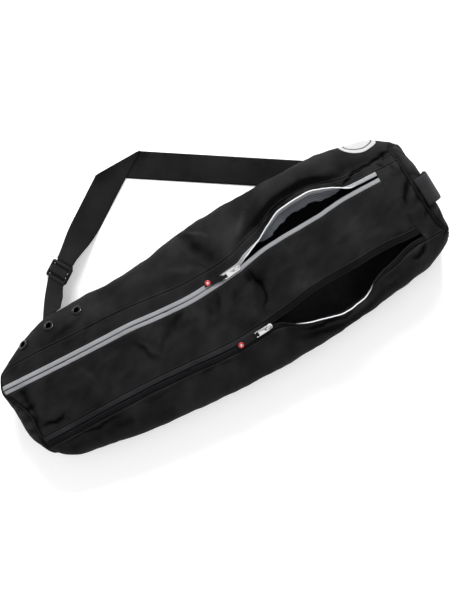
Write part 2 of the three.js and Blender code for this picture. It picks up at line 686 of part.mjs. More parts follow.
let sideSolid = solidOf(sidePanel.geometry);
for (let i = 0; i < 3; i += 1) {
  const place = eyeletPlace(i);
  const cutter = turned(eyeletProfile(GAP)).applyMatrix4(place);
  sideSolid = sideSolid.subtract(solidOf(cutter));
  const eyelet = new THREE.Mesh(turned(eyeletProfile(0)), new THREE.MeshStandardMaterial(METAL));
  eyelet.name = `eyelet_${i + 1}`;
  eyelet.applyMatrix4(place);
  bag.add(eyelet);
}
bag.add(meshOfSolid('upper_side_panel', sideSolid, BLACK_CLOTH));

// The round print on the side, a thin skin that follows the panel under it
const PATCH_THICK = 0.6;
function sidePatch() {
  const { outer, inner } = panelRows(LIMITS.upperBack, LIMITS.placketSeam, mainZip, GAP + PATCH_THICK, PATCH_THICK);
  const { positions, triangles } = wallGeometry(outer, inner);
  const sheet = solidOf(meshOf('sheet', positions, triangles, WHITE_PRINT).geometry);
  const around = degToRad(PATCH_PLACE.around);
  const place = basisAt(skinFrame(stationAt(PATCH_PLACE.along * BAG_LENGTH, around), around, mainZip));
  const reach = PATCH_DIAMETER / 3;
  const punch = new THREE.CylinderGeometry(PATCH_DIAMETER / 2, PATCH_DIAMETER / 2, 2 * reach, 2 * ROUND_SIDES);
  punch.rotateX(Math.PI / 2).applyMatrix4(place);
  return meshOfSolid('side_patch', sheet.intersect(solidOf(punch)), WHITE_PRINT);
}
bag.add(sidePatch());

// Zip sliders, with pullers that turn on a bar under the bridge
const SLIDER_CHANNEL = COIL_BULGE + 2 * GAP;
const PLATE_TOP = SLIDER_CHANNEL + SLIDER_PLATE;
const HINGE_HEIGHT = PLATE_TOP + TUNNEL_HEIGHT / 2;
const TUNNEL_LENGTH = SLIDER_LENGTH * 0.5;
const BRIDGE_LENGTH = TUNNEL_LENGTH + 2 * BRIDGE_THICK;
const HINGE_BAR = 1.6;

function roundedShape(fromX, toX, fromY, toY, radius) {
  const shape = new THREE.Shape();
  shape.moveTo(fromX + radius, fromY);
  shape.lineTo(toX - radius, fromY);
  shape.absarc(toX - radius, fromY + radius, radius, -Math.PI / 2, 0);
  shape.lineTo(toX, toY - radius);
  shape.absarc(toX - radius, toY - radius, radius, 0, Math.PI / 2);
  shape.lineTo(fromX + radius, toY);
  shape.absarc(fromX + radius, toY - radius, radius, Math.PI / 2, Math.PI);
  shape.lineTo(fromX, fromY + radius);
  shape.absarc(fromX + radius, fromY + radius, radius, Math.PI, 1.5 * Math.PI);
  return shape;
}

function slab(shape, fromZ, toZ, curveSegments = 3) {
  const geometry = new THREE.ExtrudeGeometry(shape, { depth: toZ - fromZ, bevelEnabled: false, curveSegments });
  return geometry.translate(0, 0, fromZ);
}

// An outline drawn in X and Z, extruded along Y to both sides of the middle
function sideways(shape, width, curveSegments = 3) {
  return slab(shape, -width / 2, width / 2, curveSegments).rotateX(Math.PI / 2);
}

function sliderSolid() {
  const front = SLIDER_LENGTH * 0.6;
  const back = front - SLIDER_LENGTH;
  const half = SLIDER_WIDTH / 2;
  const plate = new THREE.Shape();
  plate.moveTo(back, -half * 0.6);
  plate.lineTo(back + 2, -half * 0.8);
  plate.lineTo(front - 4, -half);
  plate.lineTo(front - 1, -half * 0.8);
  plate.lineTo(front, 0);
  plate.lineTo(front - 1, half * 0.8);
  plate.lineTo(front - 4, half);
  plate.lineTo(back + 2, half * 0.8);
  plate.lineTo(back, half * 0.6);
  plate.closePath();
  const arch = roundedShape(
    -BRIDGE_LENGTH / 2,
    BRIDGE_LENGTH / 2,
    SLIDER_CHANNEL + SLIDER_PLATE / 2,
    PLATE_TOP + TUNNEL_HEIGHT + BRIDGE_THICK,
    BRIDGE_THICK,
  );
  arch.holes.push(
    new THREE.Path(
      roundedShape(-TUNNEL_LENGTH / 2, TUNNEL_LENGTH / 2, PLATE_TOP, PLATE_TOP + TUNNEL_HEIGHT, 0.5).getPoints(2),
    ),
  );
  const top = solidOf(slab(plate, SLIDER_CHANNEL, PLATE_TOP));
  return top.add(solidOf(sideways(arch, BRIDGE_WIDTH)));
}

// The puller points back along X from its hinge bar, with a window round the bridge and a slot for the tab.
const WINDOW_WIDTH = BRIDGE_WIDTH + 4 * GAP;
const WINDOW_END = BRIDGE_LENGTH / 2 + 3 * GAP + HINGE_BAR / 2;
const END_BAR = 1.7;
const SLOT_LENGTH = 4;
const END_BAR_AT = PULLER_LENGTH - END_BAR / 2;

function pullerShape() {
  const half = PULLER_WIDTH / 2;
  const shape = roundedShape(-PULLER_LENGTH, HINGE_BAR / 2, -half, half, 0.6);
  const slotHalf = half - 1.2;
  shape.holes.push(
    new THREE.Path(
      roundedShape(-WINDOW_END, -HINGE_BAR / 2, -WINDOW_WIDTH / 2, WINDOW_WIDTH / 2, 0.3).getPoints(2),
    ),
  );
  const slotFrom = -PULLER_LENGTH + END_BAR;
  shape.holes.push(
    new THREE.Path(roundedShape(slotFrom, slotFrom + SLOT_LENGTH, -slotHalf, slotHalf, 0.3).getPoints(2)),
  );
  return shape;
}

// The pull tab: a doubled webbing loop through the slot, lying on the cloth, with a riveted end
const TAB_THICK = 2 * PULL_TAB_LAYER + 0.2;
const EYE_HALF_HEIGHT = PULLER_THICK / 2 + GAP;
const EYE_BEHIND = 1.9;
const EYE_AHEAD = 2.3;
const EYE_WIDTH = PULLER_WIDTH - 2.4 - 2;
const RIVET_SHANK = 3;
const RIVET_AT = PULL_TAB_LENGTH - RIVET_DIAMETER * 0.62;

function heightAt(x, y) {
  const s = stationAt(x, Math.PI / 2);
  const around = aroundAt(s, y);
  return skin(stationAt(x, around), around, null);
}

// How high the cloth comes under the tab at a distance along it, in the tab's own frame
function clothUnder(toLocal, fromLocal, along) {
  let highest = -Infinity;
  for (const across of [-0.5, 0, 0.5]) {
    const world = new THREE.Vector3(-along, across * PULL_TAB_WIDTH, 0).applyMatrix4(fromLocal);
    const cloth = heightAt(world.x, world.y).applyMatrix4(toLocal);
    highest = Math.max(highest, cloth.z);
  }
  return highest;
}

function tabSolid(place) {
  const toLocal = place.clone().invert();
  const marks = [0.24, 0.36, 0.5, 0.64, 0.78, 0.9, 1].map((share) => share * PULL_TAB_LENGTH);
  const lows = marks.map((mark) => clothUnder(toLocal, place, mark) + COIL_BULGE + GAP);
  const loop = new THREE.Shape();
  const eyeTop = EYE_HALF_HEIGHT + PULL_TAB_LAYER;
  loop.moveTo(EYE_BEHIND + PULL_TAB_LAYER, -eyeTop + 0.5);
  loop.lineTo(EYE_BEHIND + PULL_TAB_LAYER, eyeTop - 0.5);
  loop.lineTo(EYE_BEHIND + PULL_TAB_LAYER - 0.5, eyeTop);
  loop.lineTo(-EYE_AHEAD, eyeTop - 0.3);
  loop.lineTo(-EYE_AHEAD - 3, Math.max(lows[0] + TAB_THICK, 0.4));
  loop.lineTo(-EYE_AHEAD - 3, Math.max(lows[0] + TAB_THICK, 0.4) - TAB_THICK);
  loop.lineTo(-EYE_AHEAD, -eyeTop + 0.3);
  loop.lineTo(EYE_BEHIND + PULL_TAB_LAYER - 0.5, -eyeTop);
  loop.closePath();
  const eye = new THREE.Path();
  eye.moveTo(EYE_BEHIND, -EYE_HALF_HEIGHT);
  eye.lineTo(EYE_BEHIND, EYE_HALF_HEIGHT);
  eye.lineTo(-EYE_AHEAD + 0.4, EYE_HALF_HEIGHT);
  eye.lineTo(-EYE_AHEAD + 0.4, -EYE_HALF_HEIGHT);
  eye.closePath();
  loop.holes.push(eye);
  const tail = new THREE.Shape();
  const startTop = Math.max(lows[0] + TAB_THICK, 0.4);
  tail.moveTo(-EYE_AHEAD - 2, startTop);
  marks.forEach((mark, i) => tail.lineTo(-mark, lows[i] + TAB_THICK));
  [...marks].reverse().forEach((mark, i) => tail.lineTo(-mark, lows[marks.length - 1 - i]));
  tail.lineTo(-EYE_AHEAD - 2, startTop - TAB_THICK);
  tail.closePath();
  const body = solidOf(sideways(loop, EYE_WIDTH)).add(solidOf(sideways(tail, PULL_TAB_WIDTH)));
  const at = marks.findIndex((mark) => mark >= RIVET_AT);
  const t = (RIVET_AT - marks[at - 1]) / (marks[at] - marks[at - 1]);
  const seat = lerp(lows[at - 1], lows[at], t) + TAB_THICK;
  const slope = Math.atan2(lows[at - 1] - lows[at], marks[at] - marks[at - 1]);
  const rivetPlace = new THREE.Matrix4().makeRotationY(-slope).setPosition(-RIVET_AT, 0, seat);
  const shank = new THREE.CylinderGeometry(RIVET_SHANK / 2 + GAP, RIVET_SHANK / 2 + GAP, 4 * TAB_THICK, 10);
  shank.rotateX(Math.PI / 2).applyMatrix4(rivetPlace);
  return { solid: body.subtract(solidOf(shank)), rivetPlace };
}

function rivetGeometry() {
  const r = RIVET_DIAMETER / 2;
  return turned([
    [0, 1.9],
    [r * 0.55, 1.8],
    [r * 0.9, 1.3],
    [r, GAP + 0.3],
    [r, GAP],
    [RIVET_SHANK / 2, GAP],
    [RIVET_SHANK / 2, -TAB_THICK * 0.8],
    [0, -TAB_THICK * 0.8],
  ]);
}

function placed(name, geometry, look, matrix) {
  const mesh = new THREE.Mesh(geometry, new THREE.MeshStandardMaterial(look));
  mesh.name = name;
  mesh.applyMatrix4(matrix);
  return mesh;
}

function zipPull(prefix, zip) {
  const x = SLIDERS_ALONG * BAG_LENGTH;
  const slope = (zip.coilAt(x) - zip.coilAt(x - PULLER_LENGTH * 2)) / (PULLER_LENGTH * 2);
  const s = stationAt(x, aroundAt(stationAt(x, Math.PI / 2), zip.coilAt(x)));
  const frame = skinFrame(s, aroundAt(s, zip.coilAt(x)), null);
  const place = basisAt(frame).multiply(new THREE.Matrix4().makeRotationZ(Math.atan(slope)));
  const slider = meshOfSolid(`${prefix}_zip_slider`, sliderSolid(), METAL);
  slider.applyMatrix4(place);
  bag.add(slider);

  const hinge = place.clone().multiply(new THREE.Matrix4().makeTranslation(0, 0, HINGE_HEIGHT));
  const tilted = hinge.clone().multiply(new THREE.Matrix4().makeRotationY(-degToRad(PULLER_TILT)));
  const plate = slab(pullerShape(), -PULLER_THICK / 2, PULLER_THICK / 2);
  bag.add(placed(`${prefix}_zip_puller`, plate, METAL, tilted));

  const barAt = tilted.clone().multiply(new THREE.Matrix4().makeTranslation(-END_BAR_AT, 0, 0));
  const tabPlace = barAt
    .multiply(new THREE.Matrix4().makeRotationY(degToRad(PULLER_TILT)))
    .multiply(new THREE.Matrix4().makeRotationZ(degToRad(PULL_TAB_YAW[prefix])));
  const { solid, rivetPlace } = tabSolid(tabPlace);
  const tab = meshOfSolid(`${prefix}_pull_tab`, solid, BLACK_WEBBING);
  tab.applyMatrix4(tabPlace);
  bag.add(tab);
  bag.add(placed(`${prefix}_tab_rivet`, rivetGeometry(), RED_PAINT, tabPlace.clone().multiply(rivetPlace)));
}

zipPull('main', mainZip);
zipPull('pocket', pocketZip);

// Webbing: a flat band through stations, each with two edge points and a normal
const BAND_OUTLINE = [
  new THREE.Vector2(0, 1),
  new THREE.Vector2(1, 1),
  new THREE.Vector2(1, 0),
  new THREE.Vector2(0, 0),
];

function band(name, stations, look) {
  const rings = stations.map(({ left, right, normal }) => [
    left.clone().addScaledVector(normal, STRAP_THICK / 2),
    right.clone().addScaledVector(normal, STRAP_THICK / 2),
    right.clone().addScaledVector(normal, -STRAP_THICK / 2),
    left.clone().addScaledVector(normal, -STRAP_THICK / 2),
  ]);
  const { positions, triangles } = sweepGeometry(rings, BAND_OUTLINE);
  return meshOf(name, positions, triangles, look);
}

const HANDLE_SPAN = { from: 0.02, to: 0.92 };

// The end handle: a loop over the middle of the top cap, from its upper seam to its lower one
function capProfile(t) {
  const around = t < 0.5 ? Math.PI / 2 : -Math.PI / 2;
  return capPoint('top', around, Math.abs(1 - 2 * t));
}

function endHandle() {
  const steps = 12;
  const stations = [];
  const widthway = capPoint('top', 0, 0.5).sub(capPoint('top', Math.PI, 0.5)).setZ(0);
  widthway.x = -HANDLE_LEAN * widthway.y;
  widthway.normalize();
  for (let i = 0; i <= steps; i += 1) {
    const t = lerp(HANDLE_SPAN.from, HANDLE_SPAN.to, i / steps);
    const here = capProfile(t);
    const along = capProfile(t + 0.01).sub(capProfile(t - 0.01));
    along.setY(0).normalize();
    const normal = new THREE.Vector3(-along.z, 0, along.x);
    const bow = HANDLE_GAP * Math.sin((Math.PI * i) / steps) ** 0.8;
    const off = GAP * 2 + STRAP_THICK / 2 + HANDLE_LEAN * STRAP_WIDTH * t + bow;
    const centre = here.clone().addScaledVector(normal, off);
    stations.push({
      left: centre.clone().addScaledVector(widthway, STRAP_WIDTH / 2),
      right: centre.clone().addScaledVector(widthway, -STRAP_WIDTH / 2),
      normal,
    });
  }
  return stations;
}
bag.add(band('end_handle', endHandle(), BLACK_WEBBING));

// A plan point of the strap's route
function routePoint({ along, across }) {
  return new THREE.Vector3(along * BAG_LENGTH, across * BAG_WIDTH, 0);
}

// Where the side comes down to a height over the floor, under its bulge
function tuckedUnder(height) {
  let reach = 0;
  for (const along of STRAP_ROUTE.tuck) {
    for (let degrees = -10; degrees > -80; degrees -= 1) {
      const around = degToRad(degrees);
      const cloth = skin(stationAt(along * BAG_LENGTH, around), around, null);
      if (cloth.z <= height) {
        reach = Math.max(reach, cloth.y);
        break;
      }
    }
  }
  return reach;
}

const UP = new THREE.Vector3(0, 0, 1);
const ADJUSTER_LENGTH = 3 * ADJUSTER_BAR + 2 * ADJUSTER_SLOT;
const ADJUSTER_WIDTH = STRAP_WIDTH + 4 * GAP + 2 * ADJUSTER_BAR;
const HALF_STRAP = STRAP_WIDTH / 2;

// The strap through its adjuster: over the middle bar and under the outer ones
const WEAVE_OVER = ADJUSTER_BAR / 2 + 2 * GAP;
const WEAVE_UNDER = ADJUSTER_BAR / 2 + ADJUSTER_SLOT - 2 * GAP;

function weaveOffset(distance) {
  const depth = ADJUSTER_THICK / 2 + STRAP_THICK / 2 + GAP;
  const away = Math.abs(distance);
  if (away <= WEAVE_OVER) return depth;
  if (away >= WEAVE_UNDER) return -depth;
  return lerp(depth, -depth, (away - WEAVE_OVER) / (WEAVE_UNDER - WEAVE_OVER));
}

function strapParts() {
  const adjuster = routePoint(STRAP_ROUTE.adjuster);
  const fold = routePoint(STRAP_ROUTE.fold);
  const out = fold.clone().sub(adjuster).normalize();
  const back = routePoint(STRAP_ROUTE.side).sub(fold).normalize();
  const crease = out.clone().add(back).normalize();
  const outLeft = UP.clone().cross(out);
  const backLeft = UP.clone().cross(back);
  const lean = Math.acos(out.dot(crease));
  const creaseHalf = HALF_STRAP / Math.sin(lean);
  const creaseRun = HALF_STRAP / Math.tan(lean);
  const legLength = fold.distanceTo(adjuster);
  const bank = degToRad(ADJUSTER_BANK);
  const low = STRAP_THICK / 2;
  const high = low + STRAP_THICK + 2 * GAP;
  const frameHeight = (ADJUSTER_WIDTH / 2) * Math.sin(bank) + (ADJUSTER_THICK / 2) * Math.cos(bank) + GAP;
  const stations = [];

  // a station square across the strap, given its middle, its direction and its tilt
  const square = (centre, direction, leftward, tilt) => {
    const width = leftward.clone().multiplyScalar(Math.cos(tilt)).addScaledVector(UP, -Math.sin(tilt));
    stations.push({
      left: centre.clone().addScaledVector(width, HALF_STRAP),
      right: centre.clone().addScaledVector(width, -HALF_STRAP),
      normal: direction.clone().cross(width).normalize(),
    });
  };

  // from the side of the bag, sewn on at the nearest corner of the cloth's flat faces, to the adjuster
  const rootAround = degToRad(STRAP_ROUTE.root.around);
  const rootX = STRAP_ROUTE.root.along * BAG_LENGTH;
  const root = skinFrame(stationAt(rootX, rootAround), rootAround, null);
  const sewnTo = upperSideCorners().reduce((best, corner) =>
    corner.distanceTo(root.here) < best.distanceTo(root.here) ? corner : best,
  );
  const start = sewnTo.clone().addScaledVector(root.normal, GAP);
  const middleOfFrame = adjuster.clone().setZ(frameHeight);
  const weaveReach = ADJUSTER_LENGTH / 2 + 3;
  const frameStart = middleOfFrame.clone().addScaledVector(out, -weaveReach);
  const frameWidth = outLeft.clone().multiplyScalar(Math.cos(bank)).addScaledVector(UP, -Math.sin(bank));
  const rootLean = degToRad(ROOT_LEAN);
  const rootAlong = root.across.clone().cross(root.normal);
  const rootWidth = rootAlong.multiplyScalar(Math.sin(rootLean)).addScaledVector(root.across, -Math.cos(rootLean));
  const normalAtFrame = out.clone().cross(frameWidth).normalize();
  const ends = weaveOffset(weaveReach);
  const frameIn = frameStart.clone().addScaledVector(normalAtFrame, ends);
  const rootSteps = 8;
  for (let i = 0; i < rootSteps; i += 1) {
    const t = i / rootSteps;
    const centre = start.clone().lerp(frameIn, t);
    const width = rootWidth.clone().lerp(frameWidth, t * t * (3 - 2 * t)).normalize();
    const direction = root.normal.clone().lerp(out, Math.sqrt(t)).normalize();
    stations.push({
      left: centre.clone().addScaledVector(width, HALF_STRAP),
      right: centre.clone().addScaledVector(width, -HALF_STRAP),
      normal: direction.cross(width).normalize(),
    });
  }

  // through the adjuster
  for (const distance of [-weaveReach, -WEAVE_UNDER, -WEAVE_OVER, WEAVE_OVER, WEAVE_UNDER, weaveReach]) {
    const centre = middleOfFrame.clone().addScaledVector(out, distance);
    square(centre.addScaledVector(normalAtFrame, weaveOffset(distance)), out, outLeft, bank);
  }

  // down to the floor and out to the fold, where it climbs on its own other leg
  const legSteps = 9;
  const legFrom = weaveReach - legLength;
  const legTo = -creaseRun - HALF_STRAP / 2;
  for (let i = 1; i <= legSteps; i += 1) {
    const t = i / legSteps;
    const tilt = bank * (1 - smoothstep(t, 0, 0.6));
    const climb = lerp(low, high, smoothstep(t, 0.6, 1));
    const held = (frameHeight + ends - HALF_STRAP * Math.sin(bank)) * (1 - smoothstep(t, 0, 0.5));
    const centre = fold.clone().addScaledVector(out, lerp(legFrom, legTo, t));
    centre.z = HALF_STRAP * Math.sin(tilt) + Math.max(climb, held);
    square(centre, out, outLeft, tilt);
  }

  // round the crease, whose lines all run along it
  const creaseFrom = fold.clone().addScaledVector(crease, -creaseHalf);
  const creaseTo = fold.clone().addScaledVector(crease, creaseHalf);
  const outward = UP.clone().cross(crease);
  const radius = (high - low) / 2;
  const turns = 5;
  for (let i = 0; i <= turns; i += 1) {
    const turn = (Math.PI * i) / turns;
    const normal = outward.clone().multiplyScalar(Math.sin(turn)).addScaledVector(UP, Math.cos(turn));
    const shift = normal.clone().multiplyScalar(radius).addScaledVector(UP, low + radius);
    stations.push({ left: creaseFrom.clone().add(shift), right: creaseTo.clone().add(shift), normal });
  }

  // back to the bag, and in under its side, where the end lies along the body
  const tuck = tuckedUnder(STRAP_THICK + 3 * GAP);
  const down = UP.clone().negate();
  const backStation = (leftAt, rightAt) => {
    const floor = fold.clone().setZ(low);
    stations.push({
      left: floor.clone().addScaledVector(back, leftAt).addScaledVector(backLeft, -HALF_STRAP),
      right: floor.clone().addScaledVector(back, rightAt).addScaledVector(backLeft, HALF_STRAP),
      normal: down,
    });
  };
  const endAt = (side) => (tuck - fold.y - side * backLeft.y * HALF_STRAP) / back.y;
  const squareTo = Math.min(endAt(1), endAt(-1)) - HALF_STRAP / 4;
  const backSteps = 5;
  for (let i = 0; i <= backSteps; i += 1) {
    const at = lerp(creaseRun + HALF_STRAP / 2, squareTo, i / backSteps);
    backStation(at, at);
  }
  backStation(endAt(-1), endAt(1));

  const framePlace = new THREE.Matrix4()
    .makeBasis(out, frameWidth, normalAtFrame)
    .setPosition(middleOfFrame);
  return { stations, framePlace };
}

const strap = strapParts();
bag.add(band('shoulder_strap', strap.stations, BLACK_WEBBING));

function adjusterGeometry() {
  const halfLength = ADJUSTER_LENGTH / 2;
  const halfWidth = ADJUSTER_WIDTH / 2;
  const shape = roundedShape(-halfLength, halfLength, -halfWidth, halfWidth, ADJUSTER_BAR);
  const slotHalf = HALF_STRAP + 2 * GAP;
  for (const side of [-1, 1]) {
    const middle = (side * (ADJUSTER_BAR + ADJUSTER_SLOT)) / 2;
    const from = middle - ADJUSTER_SLOT / 2;
    const slot = roundedShape(from, from + ADJUSTER_SLOT, -slotHalf, slotHalf, 0.4);
    shape.holes.push(new THREE.Path(slot.getPoints(2)));
  }
  return slab(shape, -ADJUSTER_THICK / 2, ADJUSTER_THICK / 2);
}
bag.add(placed('strap_adjuster', adjusterGeometry(), GLOSS_PLASTIC, strap.framePlace));

export default bag;
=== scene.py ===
import math

import bmesh
import bpy
import numpy as np
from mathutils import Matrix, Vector


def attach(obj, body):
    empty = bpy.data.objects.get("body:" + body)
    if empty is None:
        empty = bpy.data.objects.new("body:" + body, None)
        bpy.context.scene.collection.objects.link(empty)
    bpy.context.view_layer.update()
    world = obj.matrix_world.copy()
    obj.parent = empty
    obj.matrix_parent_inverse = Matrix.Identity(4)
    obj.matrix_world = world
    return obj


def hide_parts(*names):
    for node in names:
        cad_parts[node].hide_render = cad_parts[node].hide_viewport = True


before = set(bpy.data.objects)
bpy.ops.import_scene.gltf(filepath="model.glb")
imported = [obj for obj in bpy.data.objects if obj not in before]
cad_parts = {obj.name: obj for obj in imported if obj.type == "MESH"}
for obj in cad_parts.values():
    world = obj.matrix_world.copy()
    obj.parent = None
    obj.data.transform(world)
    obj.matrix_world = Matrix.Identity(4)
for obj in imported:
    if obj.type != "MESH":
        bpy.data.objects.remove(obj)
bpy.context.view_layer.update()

MM = 0.001
SEED = 11

# Driving sizes, as in the part
BAG_LENGTH = 800
BAG_WIDTH = 300
BAG_HEIGHT = 123
IN_PLAN = (BAG_LENGTH, BAG_WIDTH)
CLOTH = 2
GAP = 0.3
MAIN_TAPE_WIDTH = 7.6
POCKET_TAPE_WIDTH = 9.8
TAPE_THICK = 1.2
COIL_WIDTH = 2.6
COIL_BULGE = 0.6
EYELET_DIAMETER = 18
EYELET_HOLE = 10
EYELET_FLANGE = 0.9
EYELET_BARREL = 1.2
RIVET_DIAMETER = 10
PATCH_DIAMETER = 64
PATCH_THICK = 0.5
STRAP_WIDTH = 50
STRAP_THICK = 1.8
ADJUSTER_THICK = 3
ADJUSTER_BAR = 5
ADJUSTER_SLOT = 8.6
HANDLE_GAP = 11
HANDLE_LEAN = 0.05

# How finely the looks are cut
CLOTH_STEP = 2.2
BACK_STEP = 5
TAPE_STEP = 2
TOOTH_PITCH = 1.9


def table(columns, *rows):
    """A table's columns by name, each an array with a value for every row."""
    return dict(zip(columns.split(), np.array(rows, float).T))


# The body's cross section, as shares of the length, width and height
SECTIONS = table(
    "along up down height square",
    (-0.5, 0.25, 0.3, 0.75, 2.7),
    (-0.481, 0.267, 0.335, 0.79, 2.7),
    (-0.45, 0.313, 0.387, 0.82, 2.6),
    (-0.4, 0.38, 0.41, 0.855, 2.5),
    (-0.35, 0.41, 0.433, 0.89, 2.4),
    (-0.275, 0.41, 0.463, 0.92, 2.35),
    (-0.19, 0.408, 0.477, 0.95, 2.35),
    (-0.112, 0.425, 0.49, 0.975, 2.35),
    (-0.05, 0.457, 0.497, 0.99, 2.35),
    (0, 0.477, 0.5, 1, 2.35),
    (0.075, 0.485, 0.496, 1, 2.35),
    (0.15, 0.49, 0.483, 1, 2.35),
    (0.25, 0.493, 0.457, 1, 2.4),
    (0.325, 0.48, 0.43, 1, 2.5),
    (0.387, 0.447, 0.403, 1, 2.6),
    (0.431, 0.407, 0.373, 0.99, 2.8),
    (0.462, 0.36, 0.325, 0.975, 2.9),
    (0.485, 0.315, 0.28, 0.95, 3),
)
TUBE_FROM, TUBE_TO = -0.483, 0.474
MIDDLE_HEIGHT = 0.46
FLATTENED = 0.16

# The end seams, as shares of the length, by the angle round the section in degrees from +Y
END_SEAMS = table(
    "around base top",
    (-90, -0.484, 0.47),
    (0, -0.475, 0.479),
    (25, -0.495, 0.453),
    (49, -0.501, 0.453),
    (70, -0.489, 0.454),
    (90, -0.479, 0.455),
    (112, -0.474, 0.457),
    (132, -0.476, 0.462),
    (155, -0.474, 0.479),
    (180, -0.462, 0.482),
    (270, -0.484, 0.47),
)
CAPS = {
    "base": {"centre": -0.506, "across": -0.03, "power": 3, "away": -1, "s": 0},
    "top": {"centre": 0.4885, "across": 0.025, "power": 4, "away": 1, "s": 1},
}

# The zips: line is the still coil's edge, part how far the halves stand apart, rise and turn the raised lip
MAIN_ZIP_ROWS = table(
    "along line part rise turn strip",
    (-0.505, 0.143, 0, 0, 0, 0.06),
    (-0.46, 0.138, 0, 0, 0, 0.085),
    (-0.397, 0.132, 0, 0, 0, 0.087),
    (-0.297, 0.124, 0, 0, 0, 0.083),
    (-0.211, 0.12, 0, 0, 0, 0.08),
    (-0.135, 0.104, 0, 0, 0, 0.075),
    (-0.065, 0.094, 0, 0, 0, 0.066),
    (0, 0.105, 0, 0, 0, 0.057),
    (0.055, 0.121, 0, 0, 0, 0.053),
    (0.078, 0.134, 0.013, 0.015, 8, 0.05),
    (0.1, 0.147, 0.019, 0.03, 45, 0.05),
    (0.125, 0.158, 0.027, 0.05, 80, 0.05),
    (0.156, 0.163, 0.057, 0.08, 105, 0.05),
    (0.187, 0.167, 0.084, 0.1, 122, 0.05),
    (0.219, 0.17, 0.091, 0.105, 128, 0.05),
    (0.25, 0.173, 0.09, 0.1, 126, 0.05),
    (0.281, 0.182, 0.064, 0.075, 115, 0.05),
    (0.312, 0.19, 0.03, 0.045, 80, 0.05),
    (0.34, 0.191, 0.014, 0.016, 20, 0.05),
    (0.398, 0.19, 0.011, 0, 0, 0.05),
    (0.48, 0.19, 0.011, 0, 0, 0.05),
)
POCKET_ZIP_ROWS = table(
    "along line part rise turn",
    (-0.485, -0.227, 0, 0, 0),
    (-0.25, -0.227, 0, 0, 0),
    (-0.137, -0.24, 0, 0, 0),
    (-0.029, -0.255, 0, 0, 0),
    (0.055, -0.243, 0, 0, 0),
    (0.075, -0.235, 0.012, 0, 0),
    (0.109, -0.225, 0.058, 0.024, 55),
    (0.174, -0.197, 0.123, 0.065, 88),
    (0.206, -0.193, 0.14, 0.073, 92),
    (0.251, -0.192, 0.127, 0.065, 85),
    (0.305, -0.185, 0.083, 0.024, 30),
    (0.339, -0.183, 0.073, 0.008, 8),
    (0.405, -0.193, 0.017, 0, 0),
    (0.48, -0.197, 0.01, 0, 0),
)
ZIP_ENDS = {"main": 0.398, "pocket": 0.42}
LIP_REACH = 0.06

# The part's folds, in shares of the length and width; width and depth are shares of the height
FOLDS = table(
    "from_along from_across to_along to_across width depth",
    (-0.018, 0.46, -0.004, 0.34, 0.08, -0.06),
    (-0.004, 0.34, 0.013, 0.25, 0.07, -0.045),
    (0.126, 0.38, 0.048, 0.21, 0.09, 0.04),
    (0.072, 0.047, 0.079, -0.01, 0.07, -0.045),
    (0.079, -0.01, 0.056, -0.16, 0.07, -0.04),
    (-0.03, 0.01, -0.05, -0.1, 0.08, -0.02),
    (-0.196, 0, -0.185, -0.12, 0.07, -0.025),
    (-0.096, 0.04, -0.171, -0.08, 0.13, 0.02),
    (-0.466, 0.08, -0.468, -0.14, 0.08, -0.045),
    (0.345, 0.325, 0.43, 0.29, 0.07, -0.05),
    (0.445, 0.1, 0.42, -0.03, 0.06, -0.03),
    (-0.43, -0.335, -0.295, -0.35, 0.05, -0.025),
)
